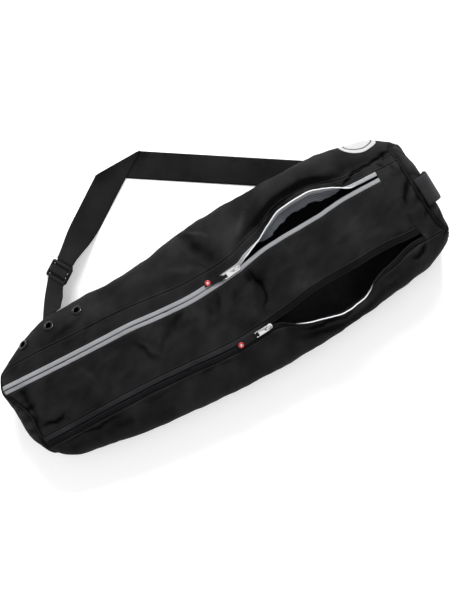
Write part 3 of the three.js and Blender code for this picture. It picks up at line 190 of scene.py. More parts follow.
# Finer folds: half width and depth in millimetres, then the line's points in thousandths of length and width
FINE_FOLDS = [
    (3.3, 2.2, -11, 457, 21, 392, 29, 349),
    (5.6, 2.6, 125, 380, 102, 325, 84, 275),
    (5.6, 1.2, 143, 321, 117, 259, 94, 217),
    (4.0, -1.6, 153, 321, 129, 261),
    (4.6, -3.8, 321, 266, 272, 349, 243, 347, 213, 340, 182, 315, 152, 271, 129, 241),
    (2.2, -1.2, -12, 244, -3, 206, 6, 168),
    (5.8, 1.4, -82, 295, -43, 251, -14, 222),
    (2.4, -2.5, 72, 98, 79, 5, 80, -59, 75, -108, 58, -166),
    (5.6, -1.6, 58, 74, 72, 16),
    (4.3, -1.1, 32, 29, 10, -33),
    (4.0, -1.6, -11, 73, -8, 18, -35, -69),
    (5.6, -1.3, -36, 33, -43, -38),
    (6.6, 1.2, -66, 95, -63, 28, -69, -38),
    (6.0, -1.8, -80, 59, -115, 28, -156, -45, -168, -72),
    (3.3, -1.4, -209, 31, -196, -37, -191, -114),
    (5.0, 1.6, -196, 45, -186, -45, -173, -96),
    (5.0, 1.0, -314, -68, -328, 22, -332, 72),
    (5.0, -1.2, -339, -158, -336, -212, -307, -198),
    (3.7, -3.0, -462, -137, -431, -144, -414, -143, -402, -117),
    (4.0, -1.4, -465, 119, -464, 42, -466, -50, -470, -138),
    (3.0, 2.0, -482, 56, -479, -44, -475, -143),
    (2.5, -2.2, -445, -274, -398, -274, -354, -288, -294, -285),
    (2.7, -1.1, -259, -286, -215, -300, -162, -295),
    (2.7, -1.6, -119, -294, -68, -298, -37, -311),
    (5.0, -0.9, -127, 247, -203, 219, -261, 227, -350, 193),
    (5.8, -1.4, -266, 316, -307, 288, -364, 263),
    (2.5, -4.4, 303, 272, 327, 250, 355, 273, 389, 287, 420, 287, 436, 300, 455, 311),
    (2.7, -1.8, 410, 263, 423, 224),
    (2.3, -1.8, 435, 303, 427, 251),
    (2.7, -1.8, 435, 233, 435, 176),
    (3.2, -3.0, 451, 115, 436, 42, 418, -25),
    (4.0, 1.2, 458, 92, 445, 17, 429, -36),
    (2.3, -1.6, 455, -73, 445, -134),
    (6.6, -1.2, 421, -68, 407, -111),
    (2.7, -2.0, 366, -139, 397, -140, 424, -155),
    (3.3, -3.6, 422, -189, 402, -217),
    (4.3, -3.4, 421, -239, 410, -292, 381, -299),
    (4.3, 2.0, 436, -215, 394, -256, 353, -272),
    (2.3, -2.0, 452, -226, 471, -260),
    (4.0, 1.6, 348, -264, 293, -299, 259, -318),
    (4.0, 1.2, 307, -350, 340, -335, 338, -394),
    (3.7, -4.0, 237, -380, 205, -397, 161, -379, 114, -354),
    (4.3, 1.4, 272, -369, 228, -387, 182, -383),
]

BACK_SEAMS = {"upper": -15, "lower": 195}
PATCH_PLACE = {"along": 0.404, "around": 8}

# The strap's route in plan, as shares of the length and width
STRAP_ROUTE = {
    "root": (-0.346, -4),
    "adjuster": (-0.29, 0.607),
    "fold": (-0.065, 1.013),
    "side": (0.166, 0.63),
    "tuck": (0.2, 0.27, 0.34, 0.4),
}
ADJUSTER_BANK = 42
ROOT_LEAN = math.radians(60)
HANDLE_SPAN = (0.02, 0.92)


def lerp(a, b, t):
    return a + (b - a) * t


def smoothstep(x, low, high):
    t = np.clip((np.asarray(x, float) - low) / (high - low), 0, 1)
    return t * t * (3 - 2 * t)


def bell(away, width):
    return np.exp(-((away / width) ** 2))


def unit(vectors):
    length = np.linalg.norm(vectors, axis=-1, keepdims=True)
    return vectors / np.maximum(length, 1e-12)


def column_curve(rows, key, at="along"):
    """A smooth, never overshooting curve through one named column of a table."""
    places, values = rows[at], rows[key]
    secants = np.diff(values) / np.diff(places)
    before = np.append(secants[:1], secants)
    after = np.append(secants, secants[-1:])
    total = np.where(before + after == 0, 1, before + after)
    slopes = np.where(before * after > 0, 2 * before * after / total, 0)

    def curve(x):
        i = np.clip(np.searchsorted(places, x, side="left") - 1, 0, len(places) - 2)
        span = places[i + 1] - places[i]
        t = np.clip((x - places[i]) / span, 0, 1)
        rest = 1 - t
        start = values[i] * (1 + 2 * t) + slopes[i] * span * t
        end = values[i + 1] * (1 + 2 * rest) - slopes[i + 1] * span * rest
        return start * rest * rest + end * t * t

    return curve


SECTION = {key: column_curve(SECTIONS, key) for key in ("up", "down", "height", "square")}
SEAMS = {end: column_curve(END_SEAMS, end, "around") for end in ("base", "top")}


def section_sizes(s):
    share = lerp(TUBE_FROM, TUBE_TO, np.asarray(s, float))
    height = BAG_HEIGHT * SECTION["height"](share)
    middle = MIDDLE_HEIGHT * height
    return {
        "up": BAG_WIDTH * SECTION["up"](share),
        "down": BAG_WIDTH * SECTION["down"](share),
        "power": SECTION["square"](share),
        "middle": middle,
        "above": height - middle,
        "below": middle + FLATTENED * height,
    }


def seam_along(end, around):
    turn = 2 * math.pi
    wrapped = around - turn * np.floor((around + math.pi / 2) / turn)
    return BAG_LENGTH * SEAMS[end](np.degrees(wrapped))


def place_along(s, around):
    return lerp(seam_along("base", around), seam_along("top", around), s)


def station_at(x, around):
    start = seam_along("base", around)
    return (x - start) / (seam_along("top", around) - start)


def around_at(s, y):
    """The angle round the section at which its upper half lies y to the side."""
    sizes = section_sizes(s)
    half = np.where(y >= 0, sizes["up"], sizes["down"])
    share = np.minimum(np.abs(y) / half, 0.999)
    rise = sizes["above"] * (1 - share ** sizes["power"]) ** (1 / sizes["power"])
    return np.arctan2(rise, y)


def travelled_along(points):
    steps = np.linalg.norm(np.diff(points, axis=0), axis=1)
    return np.append(0, np.cumsum(steps))


def beside_stretch(x, y, start, end):
    """Where along a straight stretch in plan each point lies, from 0 to 1, and how far off it."""
    run = end - start
    share = np.clip(((x - start[0]) * run[0] + (y - start[1]) * run[1]) / (run @ run), 0, 1)
    return share, np.hypot(x - lerp(start[0], end[0], share), y - lerp(start[1], end[1], share))


def fold_depth(x, y):
    depth = np.zeros(np.broadcast(x, y).shape)
    for *ends, width, deep in zip(*FOLDS.values()):
        _, away = beside_stretch(x, y, *(np.reshape(ends, (2, 2)) * IN_PLAN))
        depth = depth + deep * BAG_HEIGHT * bell(away, width * BAG_HEIGHT)
    return depth


def fine_depth(x, y):
    """The fine folds' height. Each fades out toward its two ends, and wanders a little from its line."""
    x, y = x + 1.5 * np.sin(y / 9) + 0.8 * np.sin(y / 3.7), y + 1.5 * np.sin(x / 8) + 0.8 * np.sin(x / 3.1)
    depth = np.zeros(np.broadcast(x, y).shape)
    for width, deep, *line in FINE_FOLDS:
        corners = np.reshape(line, (-1, 2)) / 1000 * IN_PLAN
        marks = travelled_along(corners)
        marks = marks / marks[-1]
        away, at = np.full_like(depth, np.inf), np.zeros_like(depth)
        for i, (start, end) in enumerate(zip(corners, corners[1:])):
            share, here = beside_stretch(x, y, start, end)
            at = np.where(here < away, lerp(marks[i], marks[i + 1], share), at)
            away = np.minimum(here, away)
        fade = 1 - np.abs(2 * at - 1) ** 3
        depth = depth + deep * fade * bell(away, width * (0.6 + 0.4 * fade))
    return depth


class Zip:
    """A zip's curves in millimetres. side is +1 where the lip that moves is the one toward +Y."""

    def __init__(self, name, rows, side, tape_width):
        self.name = name
        self.side = side
        self.tape_width = tape_width
        self.curves = {key: column_curve(rows, key) for key in ("line", "part", "rise", "turn")}
        self.end = BAG_LENGTH * ZIP_ENDS[name]
        near = station_at(self.end, math.pi / 2)
        self.stop = float(station_at(self.end, around_at(near, self.coil_at(self.end))))

    def side_name(self, is_lip):
        return "upper" if (self.side > 0) == is_lip else "lower"

    def share(self, key, x):
        return self.curves[key](np.asarray(x, float) / BAG_LENGTH)

    def coil_at(self, x):
        return BAG_WIDTH * self.share("line", x)

    def still_edge(self, x):
        return self.coil_at(x) - self.side * (self.tape_width + GAP / 2)

    def lip_edge(self, x):
        apart = BAG_WIDTH * self.share("part", x) + self.tape_width + GAP / 2
        return self.coil_at(x) + self.side * apart

    def rise(self, x):
        return BAG_HEIGHT * self.share("rise", x)

    def turn(self, x):
        return np.radians(self.share("turn", x))

    def lip_rise(self, x, y):
        """The lip stands highest at its sewn edge, dips behind it and comes back to the body."""
        reach = np.maximum(self.side * (y - self.lip_edge(x)), 0) / (LIP_REACH * BAG_WIDTH)
        return self.rise(x) * (bell(reach, 0.6) - 0.3 * bell(reach - 1.2, 0.45))


MAIN = Zip("main", MAIN_ZIP_ROWS, 1, MAIN_TAPE_WIDTH)
POCKET = Zip("pocket", POCKET_ZIP_ROWS, -1, POCKET_TAPE_WIDTH)
STRIP = column_curve(MAIN_ZIP_ROWS, "strip")

# Soft crumples: plane waves of several lengths whose crests are sharpened
WAVES = np.random.default_rng(SEED).uniform(size=(26, 3))
WAVE_LENGTHS = (28, 120)
CRUMPLE_DEPTH = 1.5
CRUMPLE_REACH = 95
CRUMPLE_BEND = 9
CRUMPLE_BENDS = (0.011, 0.017)
CRUMPLE_SUM = 4


def crumple(u, v):
    """Uneven soft relief over a plane of millimetres, between about -1 and 1."""
    total = np.zeros(np.broadcast(u, v).shape)
    for turn, length_share, phase in WAVES:
        length = WAVE_LENGTHS[0] * (WAVE_LENGTHS[1] / WAVE_LENGTHS[0]) ** length_share
        heading = math.pi * turn
        bend = CRUMPLE_BEND * np.sin(2 * math.pi * (u * CRUMPLE_BENDS[0] + v * CRUMPLE_BENDS[1] + phase))
        wave = (u * math.cos(heading) + v * math.sin(heading) + bend) / length + phase
        total = total + (1 - 2 * np.abs(np.sin(math.pi * wave))) * length / WAVE_LENGTHS[1]
    return total / CRUMPLE_SUM


# Places the cloth stays even at, so that what lies on it keeps its seat: x, y and a radius, in millimetres
CALM = [(-20, 38, 70), (-20, -78, 70)]


def calmness(x, y):
    even = np.ones(np.broadcast(x, y).shape)
    for at_x, at_y, radius in CALM:
        away = np.hypot((x - at_x) / 1.2, (y - at_y) * 2.2) / radius
        even = even * (1 - np.exp(-((away / 0.75) ** 4)))
    return even


def off_zips(x, y):
    """From 0 at the zips' sewn edges to 1 on the open cloth."""
    edges = [edge(x) for zip_line in (MAIN, POCKET) for edge in (zip_line.still_edge, zip_line.lip_edge)]
    return smoothstep(np.min([np.abs(y - edge) for edge in edges], axis=0), 1, 9)


# The cloth draws in along the end seams
SEAM_SINK = 2.4
SEAM_REACH = 3.4


def seam_sink(s):
    return SEAM_SINK * (bell(s * BAG_LENGTH, SEAM_REACH) + bell((1 - s) * BAG_LENGTH, SEAM_REACH))


# Puckers that run in from the end seams: how many, how deep and how far
PUCKERS = 21
PUCKER_DEPTH = 0.9
PUCKER_REACH = 15


def pucker(s, around):
    waves = np.sin(PUCKERS * around + 2.2 * np.sin(5 * around)) * np.cos(3 * around + 1) ** 2
    return PUCKER_DEPTH * waves * bell(np.minimum(s, 1 - s) * BAG_LENGTH, PUCKER_REACH)


# Between which heights, as sines of the angle, folds and then the finer relief fade out toward the back
UPPER_FADE = (-0.1, 0.3)
SIDE_FADE = (-0.45, 0.1)


def skin(s, around, lip=None, fine=False):
    """Points on the outside of the cloth: s runs from the base seam to the top seam."""
    s, around = np.broadcast_arrays(np.asarray(s, float), np.asarray(around, float))
    sizes = section_sizes(s)
    c, q = np.cos(around), np.sin(around)
    half = np.where(c >= 0, sizes["up"], sizes["down"])
    reach = np.where(q >= 0, sizes["above"], sizes["below"])
    power = sizes["power"]
    radius = (np.abs(c / half) ** power + np.abs(q / reach) ** power) ** (-1 / power)
    x, y, z = place_along(s, around), radius * c, sizes["middle"] + radius * q
    out_y = np.sign(c) * np.abs(c / half) ** (power - 1) / half
    out_z = np.sign(q) * np.abs(q / reach) ** (power - 1) / reach
    length = np.hypot(out_y, out_z)
    out_y, out_z = out_y / length, out_z / length
    upper = smoothstep(q, *UPPER_FADE)
    push = upper * fold_depth(x, y)
    if fine:
        side = smoothstep(q, *SIDE_FADE)
        push = push + upper * off_zips(x, y) * fine_depth(x, y) + side * (pucker(s, around) - seam_sink(s))
        push = push + side * CRUMPLE_DEPTH * calmness(x, y) * crumple(x, around * CRUMPLE_REACH)
    y, z = y + out_y * push, z + out_z * push
    if lip is not None:
        z = z + np.where(q > 0, lip.lip_rise(x, y), 0)
    return np.stack([x, y, np.maximum(z, 0)], -1)


def skin_frame(s, around, lip=None, fine=False):
    """A point of the cloth's skin, its ways along and across, and outward."""

    def at(s, around):
        return skin(s, around, lip, fine)

    step = 0.002
    along = unit(at(np.minimum(s + step, 1), around) - at(np.maximum(s - step, 0), around))
    across = unit(at(s, around + 2 * step) - at(s, around - 2 * step))
    return at(s, around), along, across, unit(np.cross(across, along))


def limit_at(s, across_at):
    guess = around_at(s, across_at(place_along(s, math.pi / 2)))
    return around_at(s, across_at(place_along(s, guess)))


def still_limit(s, zip_line):
    """Past the zip's end there is no gap, so the still edge meets the lip's."""
    return np.where(s > zip_line.stop, limit_at(s, zip_line.lip_edge), limit_at(s, zip_line.still_edge))


LIMITS = {
    "upper_back": lambda s: np.full_like(s, math.radians(BACK_SEAMS["upper"])),
    "placket_seam": lambda s: limit_at(s, lambda x: MAIN.lip_edge(x) + BAG_WIDTH * STRIP(x / BAG_LENGTH)),
    "main_lip": lambda s: limit_at(s, MAIN.lip_edge),
    "main_still": lambda s: still_limit(s, MAIN),
    "pocket_still": lambda s: still_limit(s, POCKET),
    "pocket_lip": lambda s: limit_at(s, POCKET.lip_edge),
    "lower_back": lambda s: np.full_like(s, math.radians(BACK_SEAMS["lower"])),
    "back_round": lambda s: np.full_like(s, math.radians(360 + BACK_SEAMS["upper"])),
}


def link(made):
    bpy.context.scene.collection.objects.link(made)
    return made


def mesh_object(name, points, faces, uv=None):
    """A smooth-shaded mesh of points in millimetres; uv gives a pair in millimetres for each point."""
    mesh = bpy.data.meshes.new(name)
    mesh.from_pydata((np.asarray(points) * MM).tolist(), [], [tuple(f) for f in faces])
    if uv is not None:
        layer = mesh.uv_layers.new(name="cloth")
        loops = np.empty(len(mesh.loops), int)
        mesh.loops.foreach_get("vertex_index", loops)
        layer.data.foreach_set("uv", (np.asarray(uv)[loops] * MM).astype(np.float32).ravel())
    mesh.polygons.foreach_set("use_smooth", [True] * len(mesh.polygons))
    mesh.update()
    return link(bpy.data.objects.new(name, mesh))


def outward(piece):
    """Turns every face of a closed mesh outward."""
    work = bmesh.new()
    work.from_mesh(piece.data)
    bmesh.ops.recalc_face_normals(work, faces=work.faces)
    work.to_mesh(piece.data)
    work.free()
    return piece


RELIEF_SPAN = 3.6


def paint_relief_shade(piece, relief):
    """Keeps how far each point stands out or sinks in, as shade and highlight painted into the cloth's
    colour: -1 in a fold, 1 on a ridge.
    """
    layer = piece.data.attributes.new("relief", "FLOAT", "POINT")
    layer.data.foreach_set("value", np.clip(relief / RELIEF_SPAN, -1, 1).astype(np.float32).ravel())


def dress(piece, material, body, stands_for=()):
    piece.data.materials.clear()
    piece.data.materials.append(material)
    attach(piece, body)
    if stands_for:
        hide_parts(*stands_for)
    return piece


def grid_faces(rows, columns, start=0, flip=False):
    corner = start + np.arange(rows - 1)[:, None] * columns + np.arange(columns - 1)[None, :]
    quads = np.stack([corner, corner + 1, corner + columns + 1, corner + columns], -1).reshape(-1, 4)
    return quads[:, ::-1] if flip else quads


def ring_faces(low, high, sides):
    """Quads between two closed rings of points, given where each ring starts."""
    ring = np.arange(sides)
    following = (ring + 1) % sides
    return np.stack([low + ring, low + following, high + following, high + ring], -1).tolist()


def fan_faces(start, tip, sides):
    return [(start + i, start + (i + 1) % sides, tip) for i in range(sides)]


def wall_mesh(name, outer, inner, u, v):
    """A closed wall between two grids of points with the same rows and columns."""
    rows, columns = outer.shape[:2]
    size = rows * columns
    index = np.arange(size).reshape(rows, columns)
    faces = [grid_faces(rows, columns), grid_faces(rows, columns, size, True)]
    rim = np.concatenate([index[0], index[1:, -1], index[-1, -2::-1], index[-2:0:-1, 0]])
    following = np.roll(rim, -1)
    faces.append(np.stack([following, rim, rim + size, following + size], -1))
    points = np.concatenate([outer.reshape(-1, 3), inner.reshape(-1, 3)])
    pairs = np.stack([u.ravel(), v.ravel()], -1)
    return mesh_object(name, points, np.concatenate(faces), np.concatenate([pairs, pairs]))


def sweep_mesh(name, rings, u, v, closed=False):
    """A solid through rings of points of one closed outline; closed joins the last ring to the first."""
    count, sides = rings.shape[:2]
    index = np.arange(count * sides).reshape(count, sides)
    if closed:
        index = np.concatenate([index, index[:1]])
    around = np.concatenate([index, index[:, :1]], axis=1)
    quads = np.stack([around[:-1, :-1], around[:-1, 1:], around[1:, 1:], around[1:, :-1]], -1).reshape(-1, 4)
    faces = [tuple(quad) for quad in quads]
    if not closed:
        faces += [tuple(index[0][::-1]), tuple(index[-1])]
    pairs = np.stack(np.broadcast_arrays(u[:, None], v[None, :]), -1).reshape(-1, 2)
    return outward(mesh_object(name, rings.reshape(-1, 3), faces, pairs))


def full_turn(sides):
    return np.linspace(0, 2 * math.pi, sides, endpoint=False)


def circle(turns, first, second):
    """A unit circle's points for each pair of directions."""
    return first[..., None, :] * np.cos(turns)[:, None] + second[..., None, :] * np.sin(turns)[:, None]


def rings_at(here, out, up, u, v):
    """An outline at each station, whose points lie u out and v up from it."""
    return here[:, None] + out[:, None] * u[..., None] + up[:, None] * v[..., None]


def resampled(step, points, *others):
    """Points, and what goes with them, at even distances along the points' line."""
    length = travelled_along(points)
    wanted = np.arange(step / 2, length[-1], step)
    result = [wanted]
    for values in (points, *others):
        result.append(np.stack([np.interp(wanted, length, column) for column in values.T], -1))
    return result


def stations(step):
    """Stations along the tube, with a close pair where each zip stops."""
    even = np.linspace(0, 1, round(BAG_LENGTH / step) + 1)
    close = 2 * GAP / BAG_LENGTH
    stops = [MAIN.stop, POCKET.stop]
    even = [s for s in even if all(abs(s - stop) > 2 * close for stop in stops)]
    pairs = [value for stop in stops for value in (stop, stop + close)]
    return np.sort(np.array(even + pairs))


# Panels: how much each kind of relief counts in the shade painted into the cloth, and how the sewn edges roll
# in
LIP_SHADE = 1.6
CRUMPLE_SHADE = 0.95
FOLD_SHADE = 0.15
SINK_SHADE = 1.8
PUCKER_SHADE = 2
SHADE_FROM = 0.25
EDGE_MARKS = np.array([0, 0.5, 1.1, 2])
EDGE_ROLL = 0.9
EDGE_REACH = 1.1
SECTION_SAMPLES = 70


def panel_grid(start, end, lip, step):
    """Rows of points over a panel, evenly spaced round the section and closer at its long edges."""
    rows = stations(step)
    samples = np.linspace(0, 1, SECTION_SAMPLES)
    around = lerp(LIMITS[start](rows)[:, None], LIMITS[end](rows)[:, None], samples[None, :])
    steps = np.linalg.norm(np.diff(skin(rows[:, None], around), axis=1), axis=2)
    lengths = np.concatenate([np.zeros((len(rows), 1)), np.cumsum(steps, axis=1)], axis=1)
    inner_count = max(2, round((lengths[:, -1].max() - 2 * EDGE_MARKS[-1]) / step))
    angles, travelled, from_edge = [], [], []
    for row_angles, row_lengths in zip(around, lengths):
        total = row_lengths[-1]
        marks = np.minimum(EDGE_MARKS, total * 0.2 * EDGE_MARKS / EDGE_MARKS[-1] + 1e-6)
        middle = np.linspace(marks[-1], total - marks[-1], inner_count + 1)
        wanted = np.concatenate([marks[:-1], middle, total - marks[:-1][::-1]])
        wanted = GAP / 2 + wanted * (total - GAP) / total
        angles.append(np.interp(wanted, row_lengths, row_angles))
        travelled.append(wanted)
        from_edge.append(np.minimum(wanted, total - wanted))
    angles, travelled, from_edge = (np.array(a) for a in (angles, travelled, from_edge))
    here, _, _, normal = skin_frame(rows[:, None], angles, lip, True)
    here = here - normal * (EDGE_ROLL * bell(from_edge, EDGE_REACH))[..., None]
    here[..., 2] = np.maximum(here[..., 2], 0)
    return {"points": here, "normals": normal, "v": travelled, "rows": rows, "around": angles}


def make_panel(name, grid, lip):
    points = grid["points"]
    x, y, z = points[..., 0], points[..., 1], points[..., 2]
    made = wall_mesh(name, points, points - grid["normals"] * CLOTH, x, grid["v"])
    # Painted shade and highlight: folds, sunk seams, puckers, crumples and the valley behind a raised lip are
    # darker where they sink and lighter where they rise
    relief = fine_depth(x, y) + FOLD_SHADE * fold_depth(x, y) - SINK_SHADE * seam_sink(grid["rows"])[:, None]
    relief = relief + PUCKER_SHADE * pucker(grid["rows"][:, None], grid["around"])
    relief = relief + CRUMPLE_SHADE * crumple(x, grid["around"] * CRUMPLE_REACH)
    if lip is not None:
        relief = relief - LIP_SHADE * np.maximum(-lip.lip_rise(x, y), 0)
    relief = np.where(z > BAG_HEIGHT * SHADE_FROM, relief, 0)
    paint_relief_shade(made, np.stack([relief, relief]))
    return outward(made)


# Zip tapes with a raised selvedge, and coils whose teeth follow one another
SELVEDGE = 0.25
COIL_SIDES = 8


def tape_frames(zip_line, is_lip):
    rows = stations(TAPE_STEP)
    rows = np.maximum(rows[rows <= zip_line.stop], 4 * GAP / BAG_LENGTH)
    edge = zip_line.lip_edge if is_lip else zip_line.still_edge
    toward_coil = zip_line.side if is_lip else -zip_line.side
    lip = zip_line if is_lip else None
    here, _, across, normal = skin_frame(rows, limit_at(rows, edge), lip, True)
    turn = zip_line.turn(here[:, 0])[:, None] if is_lip else np.zeros((len(rows), 1))
    flat = across * toward_coil
    out = flat * np.cos(turn) + normal * np.sin(turn)
    up = normal * np.cos(turn) - flat * np.sin(turn)
    return here, out, up


def make_tape(zip_line, is_lip):
    here, out, up = tape_frames(zip_line, is_lip)
    inner = zip_line.tape_width * 0.3
    free = zip_line.tape_width - COIL_WIDTH * 0.6
    ridge = free - COIL_WIDTH * 0.35
    over = [(GAP / 2, 0), (inner, SELVEDGE * 0.4), (ridge, SELVEDGE), (free, 0)]
    under = [(free, 0), (ridge, -SELVEDGE), (inner, 0), (GAP / 2, 0)]
    u, v = np.array(over + [(at, -TAPE_THICK + drop) for at, drop in under]).T
    name = f"{zip_line.name}_tape_{zip_line.side_name(is_lip)}"
    return sweep_mesh(name, rings_at(here, out, up, u, v), travelled_along(here), u)


def make_coil(zip_line, is_lip):
    line, here, out, up = resampled(TOOTH_PITCH / 4, *tape_frames(zip_line, is_lip))
    phase = 0 if is_lip else math.pi
    tooth = (0.5 + 0.5 * np.cos(2 * math.pi * line / TOOTH_PITCH + phase))[:, None]
    turns = full_turn(COIL_SIDES) + math.pi / COIL_SIDES
    middle = zip_line.tape_width - COIL_WIDTH / 2
    u = middle + COIL_WIDTH / 2 * (0.72 + 0.26 * tooth) * np.cos(turns)
    v = -TAPE_THICK / 2 + (TAPE_THICK / 2 + COIL_BULGE) * (0.66 + 0.34 * tooth) * np.sin(turns)
    name = f"{zip_line.name}_coil_{zip_line.side_name(is_lip)}"
    return sweep_mesh(name, rings_at(here, unit(out), unit(up), u, v), line, turns)


# The sewn-in half of the main zip's tape, which shows inside the opening under the raised lip
HEM_WIDTH = 13.5
HEM_DROP = math.radians(32)
HEM_OPENS = (70, 125)
HEM_CLOSES = (228, 264)
HEM_THICK = 0.7
HEM_COLUMNS = 9


def make_hem():
    here, out, up = tape_frames(MAIN, True)
    x = here[:, 0]
    shown = (x > HEM_OPENS[0]) & (x < HEM_CLOSES[1])
    here, out, up, x = here[shown], out[shown], up[shown], x[shown]
    turn = MAIN.turn(x)[:, None]
    flat = out * np.cos(turn) - up * np.sin(turn)
    normal = out * np.sin(turn) + up * np.cos(turn)
    width = HEM_WIDTH * smoothstep(x, *HEM_OPENS) * (1 - smoothstep(x, *HEM_CLOSES)) + 0.2
    width = width * (1 + 0.07 * np.sin(x / 5.5) + 0.05 * np.sin(x / 2.3 + 1))
    across = np.linspace(0, 1, HEM_COLUMNS)
    reach = width[:, None] * across
    ripple = 0.6 * across * np.sin(x / 4.1)[:, None]
    way = flat * math.cos(HEM_DROP) - normal * math.sin(HEM_DROP)
    outer = rings_at(here - normal * (CLOTH * 0.6), way, normal, reach, ripple)
    u = np.broadcast_to(travelled_along(here)[:, None], reach.shape)
    return outward(wall_mesh("main_tape_hem", outer, outer - normal[:, None] * HEM_THICK, u, reach))


# End caps: domes with gathers that start at the end seams
CAP_SIDES = 220
CAP_RINGS = 46
CAP_GATHERS = 0.8
CAP_CRUMPLES = 0.9
GATHERS = 19
GATHER_PLACE = 0.88
GATHER_REACH = 0.11
PIPING_RADIUS = 1.3
PIPING_STATIONS = 420
PIPING_SIDES = 10


def cap_point(end, around, share, fine=False):
    cap = CAPS[end]
    seam = skin(cap["s"], around, None, fine)
    middle = section_sizes(float(cap["s"]))["middle"]
    centre = np.array([cap["centre"] * BAG_LENGTH, cap["across"] * BAG_WIDTH, float(middle)])
    share = np.asarray(share, float)[..., None]
    point = lerp(centre, seam, share)
    bulge = share[..., 0] ** cap["power"]
    point[..., 0] = lerp(centre[0], seam[..., 0], bulge) + cap["away"] * 2 * GAP
    return point


def cap_frame(end, around, share):
    step = 0.01
    here = cap_point(end, around, share, True)
    outer = cap_point(end, around, np.minimum(share + step, 1), True)
    inner = cap_point(end, around, np.minimum(share, 1 - step) - step, True)
    round_way = cap_point(end, around + step, share, True) - cap_point(end, around - step, share, True)
    normal = unit(np.cross(outer - inner, round_way))
    return here, normal * np.where(np.sign(normal[..., :1]) == CAPS[end]["away"], 1, -1)


def make_cap(end):
    shares = np.append(np.linspace(1, 0.985, 4), np.linspace(0.97, 0.03, CAP_RINGS - 4))
    share, around = np.meshgrid(shares, full_turn(CAP_SIDES) - math.pi / 2, indexing="ij")
    here, normal = cap_frame(end, around, share)
    gathers = np.sin(GATHERS * around + 2 * np.sin(5 * around)) * bell(share - GATHER_PLACE, GATHER_REACH)
    soft = crumple(here[..., 1] * 1.2 + 90, here[..., 2] * 1.2) * smoothstep(1 - share, 0.02, 0.2)
    roll = SEAM_SINK - (SEAM_SINK + EDGE_ROLL) * bell(1 - share, 0.035)
    outer = here + normal * (CAP_GATHERS * gathers + CAP_CRUMPLES * soft + roll)[..., None]
    outer[..., 2] = np.maximum(outer[..., 2], 0)
    inner = outer - normal * CLOTH
    size = CAP_RINGS * CAP_SIDES
    tips = [outer[-1].mean(0), inner[-1].mean(0)]
    points = np.concatenate([outer.reshape(-1, 3), inner.reshape(-1, 3), tips])
    faces = []
    for start, tip in ((0, 2 * size), (size, 2 * size + 1)):
        for ring in range(start, start + size - CAP_SIDES, CAP_SIDES):
            faces += ring_faces(ring, ring + CAP_SIDES, CAP_SIDES)
        faces += fan_faces(start + size - CAP_SIDES, tip, CAP_SIDES)
    faces += ring_faces(0, size, CAP_SIDES)
    made = outward(mesh_object(f"{end}_cap_cloth", points, faces, points[:, 1:]))
    # Painted shade and highlight: darker between the gathers and in a band along the seam, lighter on the
    # gathers' crests
    relief = 1.6 * gathers + 0.8 * soft - 2.4 * bell(1 - share, 0.05)
    paint_relief_shade(made, np.concatenate([relief.ravel(), relief.ravel(), [0, 0]]))
    return made


def make_piping(end):
    """The rolled edge of the end seam, all the way round."""
    around = full_turn(PIPING_STATIONS) - math.pi / 2
    here, along, _, normal = skin_frame(np.full_like(around, CAPS[end]["s"]), around, None, True)
    centre = here - normal * (PIPING_RADIUS * 0.55) + np.array([CAPS[end]["away"] * GAP, 0, 0])
    centre[:, 2] = np.maximum(centre[:, 2], PIPING_RADIUS)
    turns = full_turn(PIPING_SIDES)
    rings = centre[:, None] + PIPING_RADIUS * circle(turns, normal, along)
    return sweep_mesh(f"{end}_piping", rings, travelled_along(centre), turns * PIPING_RADIUS, True)


# Stitches: short plump threads that follow a line on the cloth. The shape's rows are how far along the
# thread a ring lies, its radius and its height over the cloth, as shares of the length and the radius.
STITCH_INSET = 2.6
STITCH_PITCH = 3.3
STITCH_LENGTH = 2.5
STITCH_RADIUS = 0.28
STITCH_SHAPE = [(-0.5, 0.35, -0.1), (-0.25, 1, 0.45), (0.25, 1, 0.45), (0.5, 0.35, -0.1)]
STITCH_SIDES = 6


def stitch_rows(name, lines):
    """lines holds pairs of points and outward normals, each along one row of stitching."""
    turns = full_turn(STITCH_SIDES)
    points, faces = [], []
    for line, normals in lines:
        _, here, normal = resampled(STITCH_PITCH, line, normals)
        normal = unit(normal)
        ahead = unit(np.gradient(here, axis=0))
        ring = circle(turns, unit(np.cross(normal, ahead)), normal)
        rings = []
        for run, swell, lift in STITCH_SHAPE:
            centre = here + ahead * (run * STITCH_LENGTH) + normal * (lift * STITCH_RADIUS)
            rings.append(centre[:, None] + ring * (STITCH_RADIUS * swell))
        points.append(np.stack(rings, 1).reshape(-1, 3))
    points = np.concatenate(points)
    last = (len(STITCH_SHAPE) - 1) * STITCH_SIDES
    side = np.arange(STITCH_SIDES)
    for base in range(0, len(points), len(STITCH_SHAPE) * STITCH_SIDES):
        for ring in range(base, base + last, STITCH_SIDES):
            faces += ring_faces(ring, ring + STITCH_SIDES, STITCH_SIDES)
        faces += [tuple(base + side[::-1]), tuple(base + last + side)]
    return outward(mesh_object(name, points, faces))


def stitch_line(grid, far_side):
    """The line of stitches along one of a panel's long edges, with its normals."""
    line, normals = [], []
    for points, normal, v in zip(grid["points"], grid["normals"], grid["v"]):
        wanted = v[-1] - STITCH_INSET if far_side else STITCH_INSET
        line.append([np.interp(wanted, v, column) for column in points.T])
        normals.append([np.interp(wanted, v, column) for column in normal.T])
    return np.array(line), np.array(normals)


# Turned metal pieces, each put on the axis of the CAD node it stands for
TURNED_SIDES = 48
EYELET_CURL = 1.1
EYELET_ROUND = 0.7
RIVET_TOP = 1.9
ON_AXIS = 0.001


def axis_frame(node, top):
    """A turned node's own origin and axes in millimetres, given how high its top is over the origin."""
    points = np.array([v.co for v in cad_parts[node].data.vertices]) / MM
    points = np.unique(points.round(4), axis=0)
    centre = points.mean(0)
    _, _, ways = np.linalg.svd(points - centre)
    axis = ways[2] * np.sign(ways[2][2])
    origin = centre + axis * (((points - centre) @ axis).max() - top)
    side = unit(np.cross(axis, [0, 1, 0]))
    return origin, side, np.cross(axis, side), axis


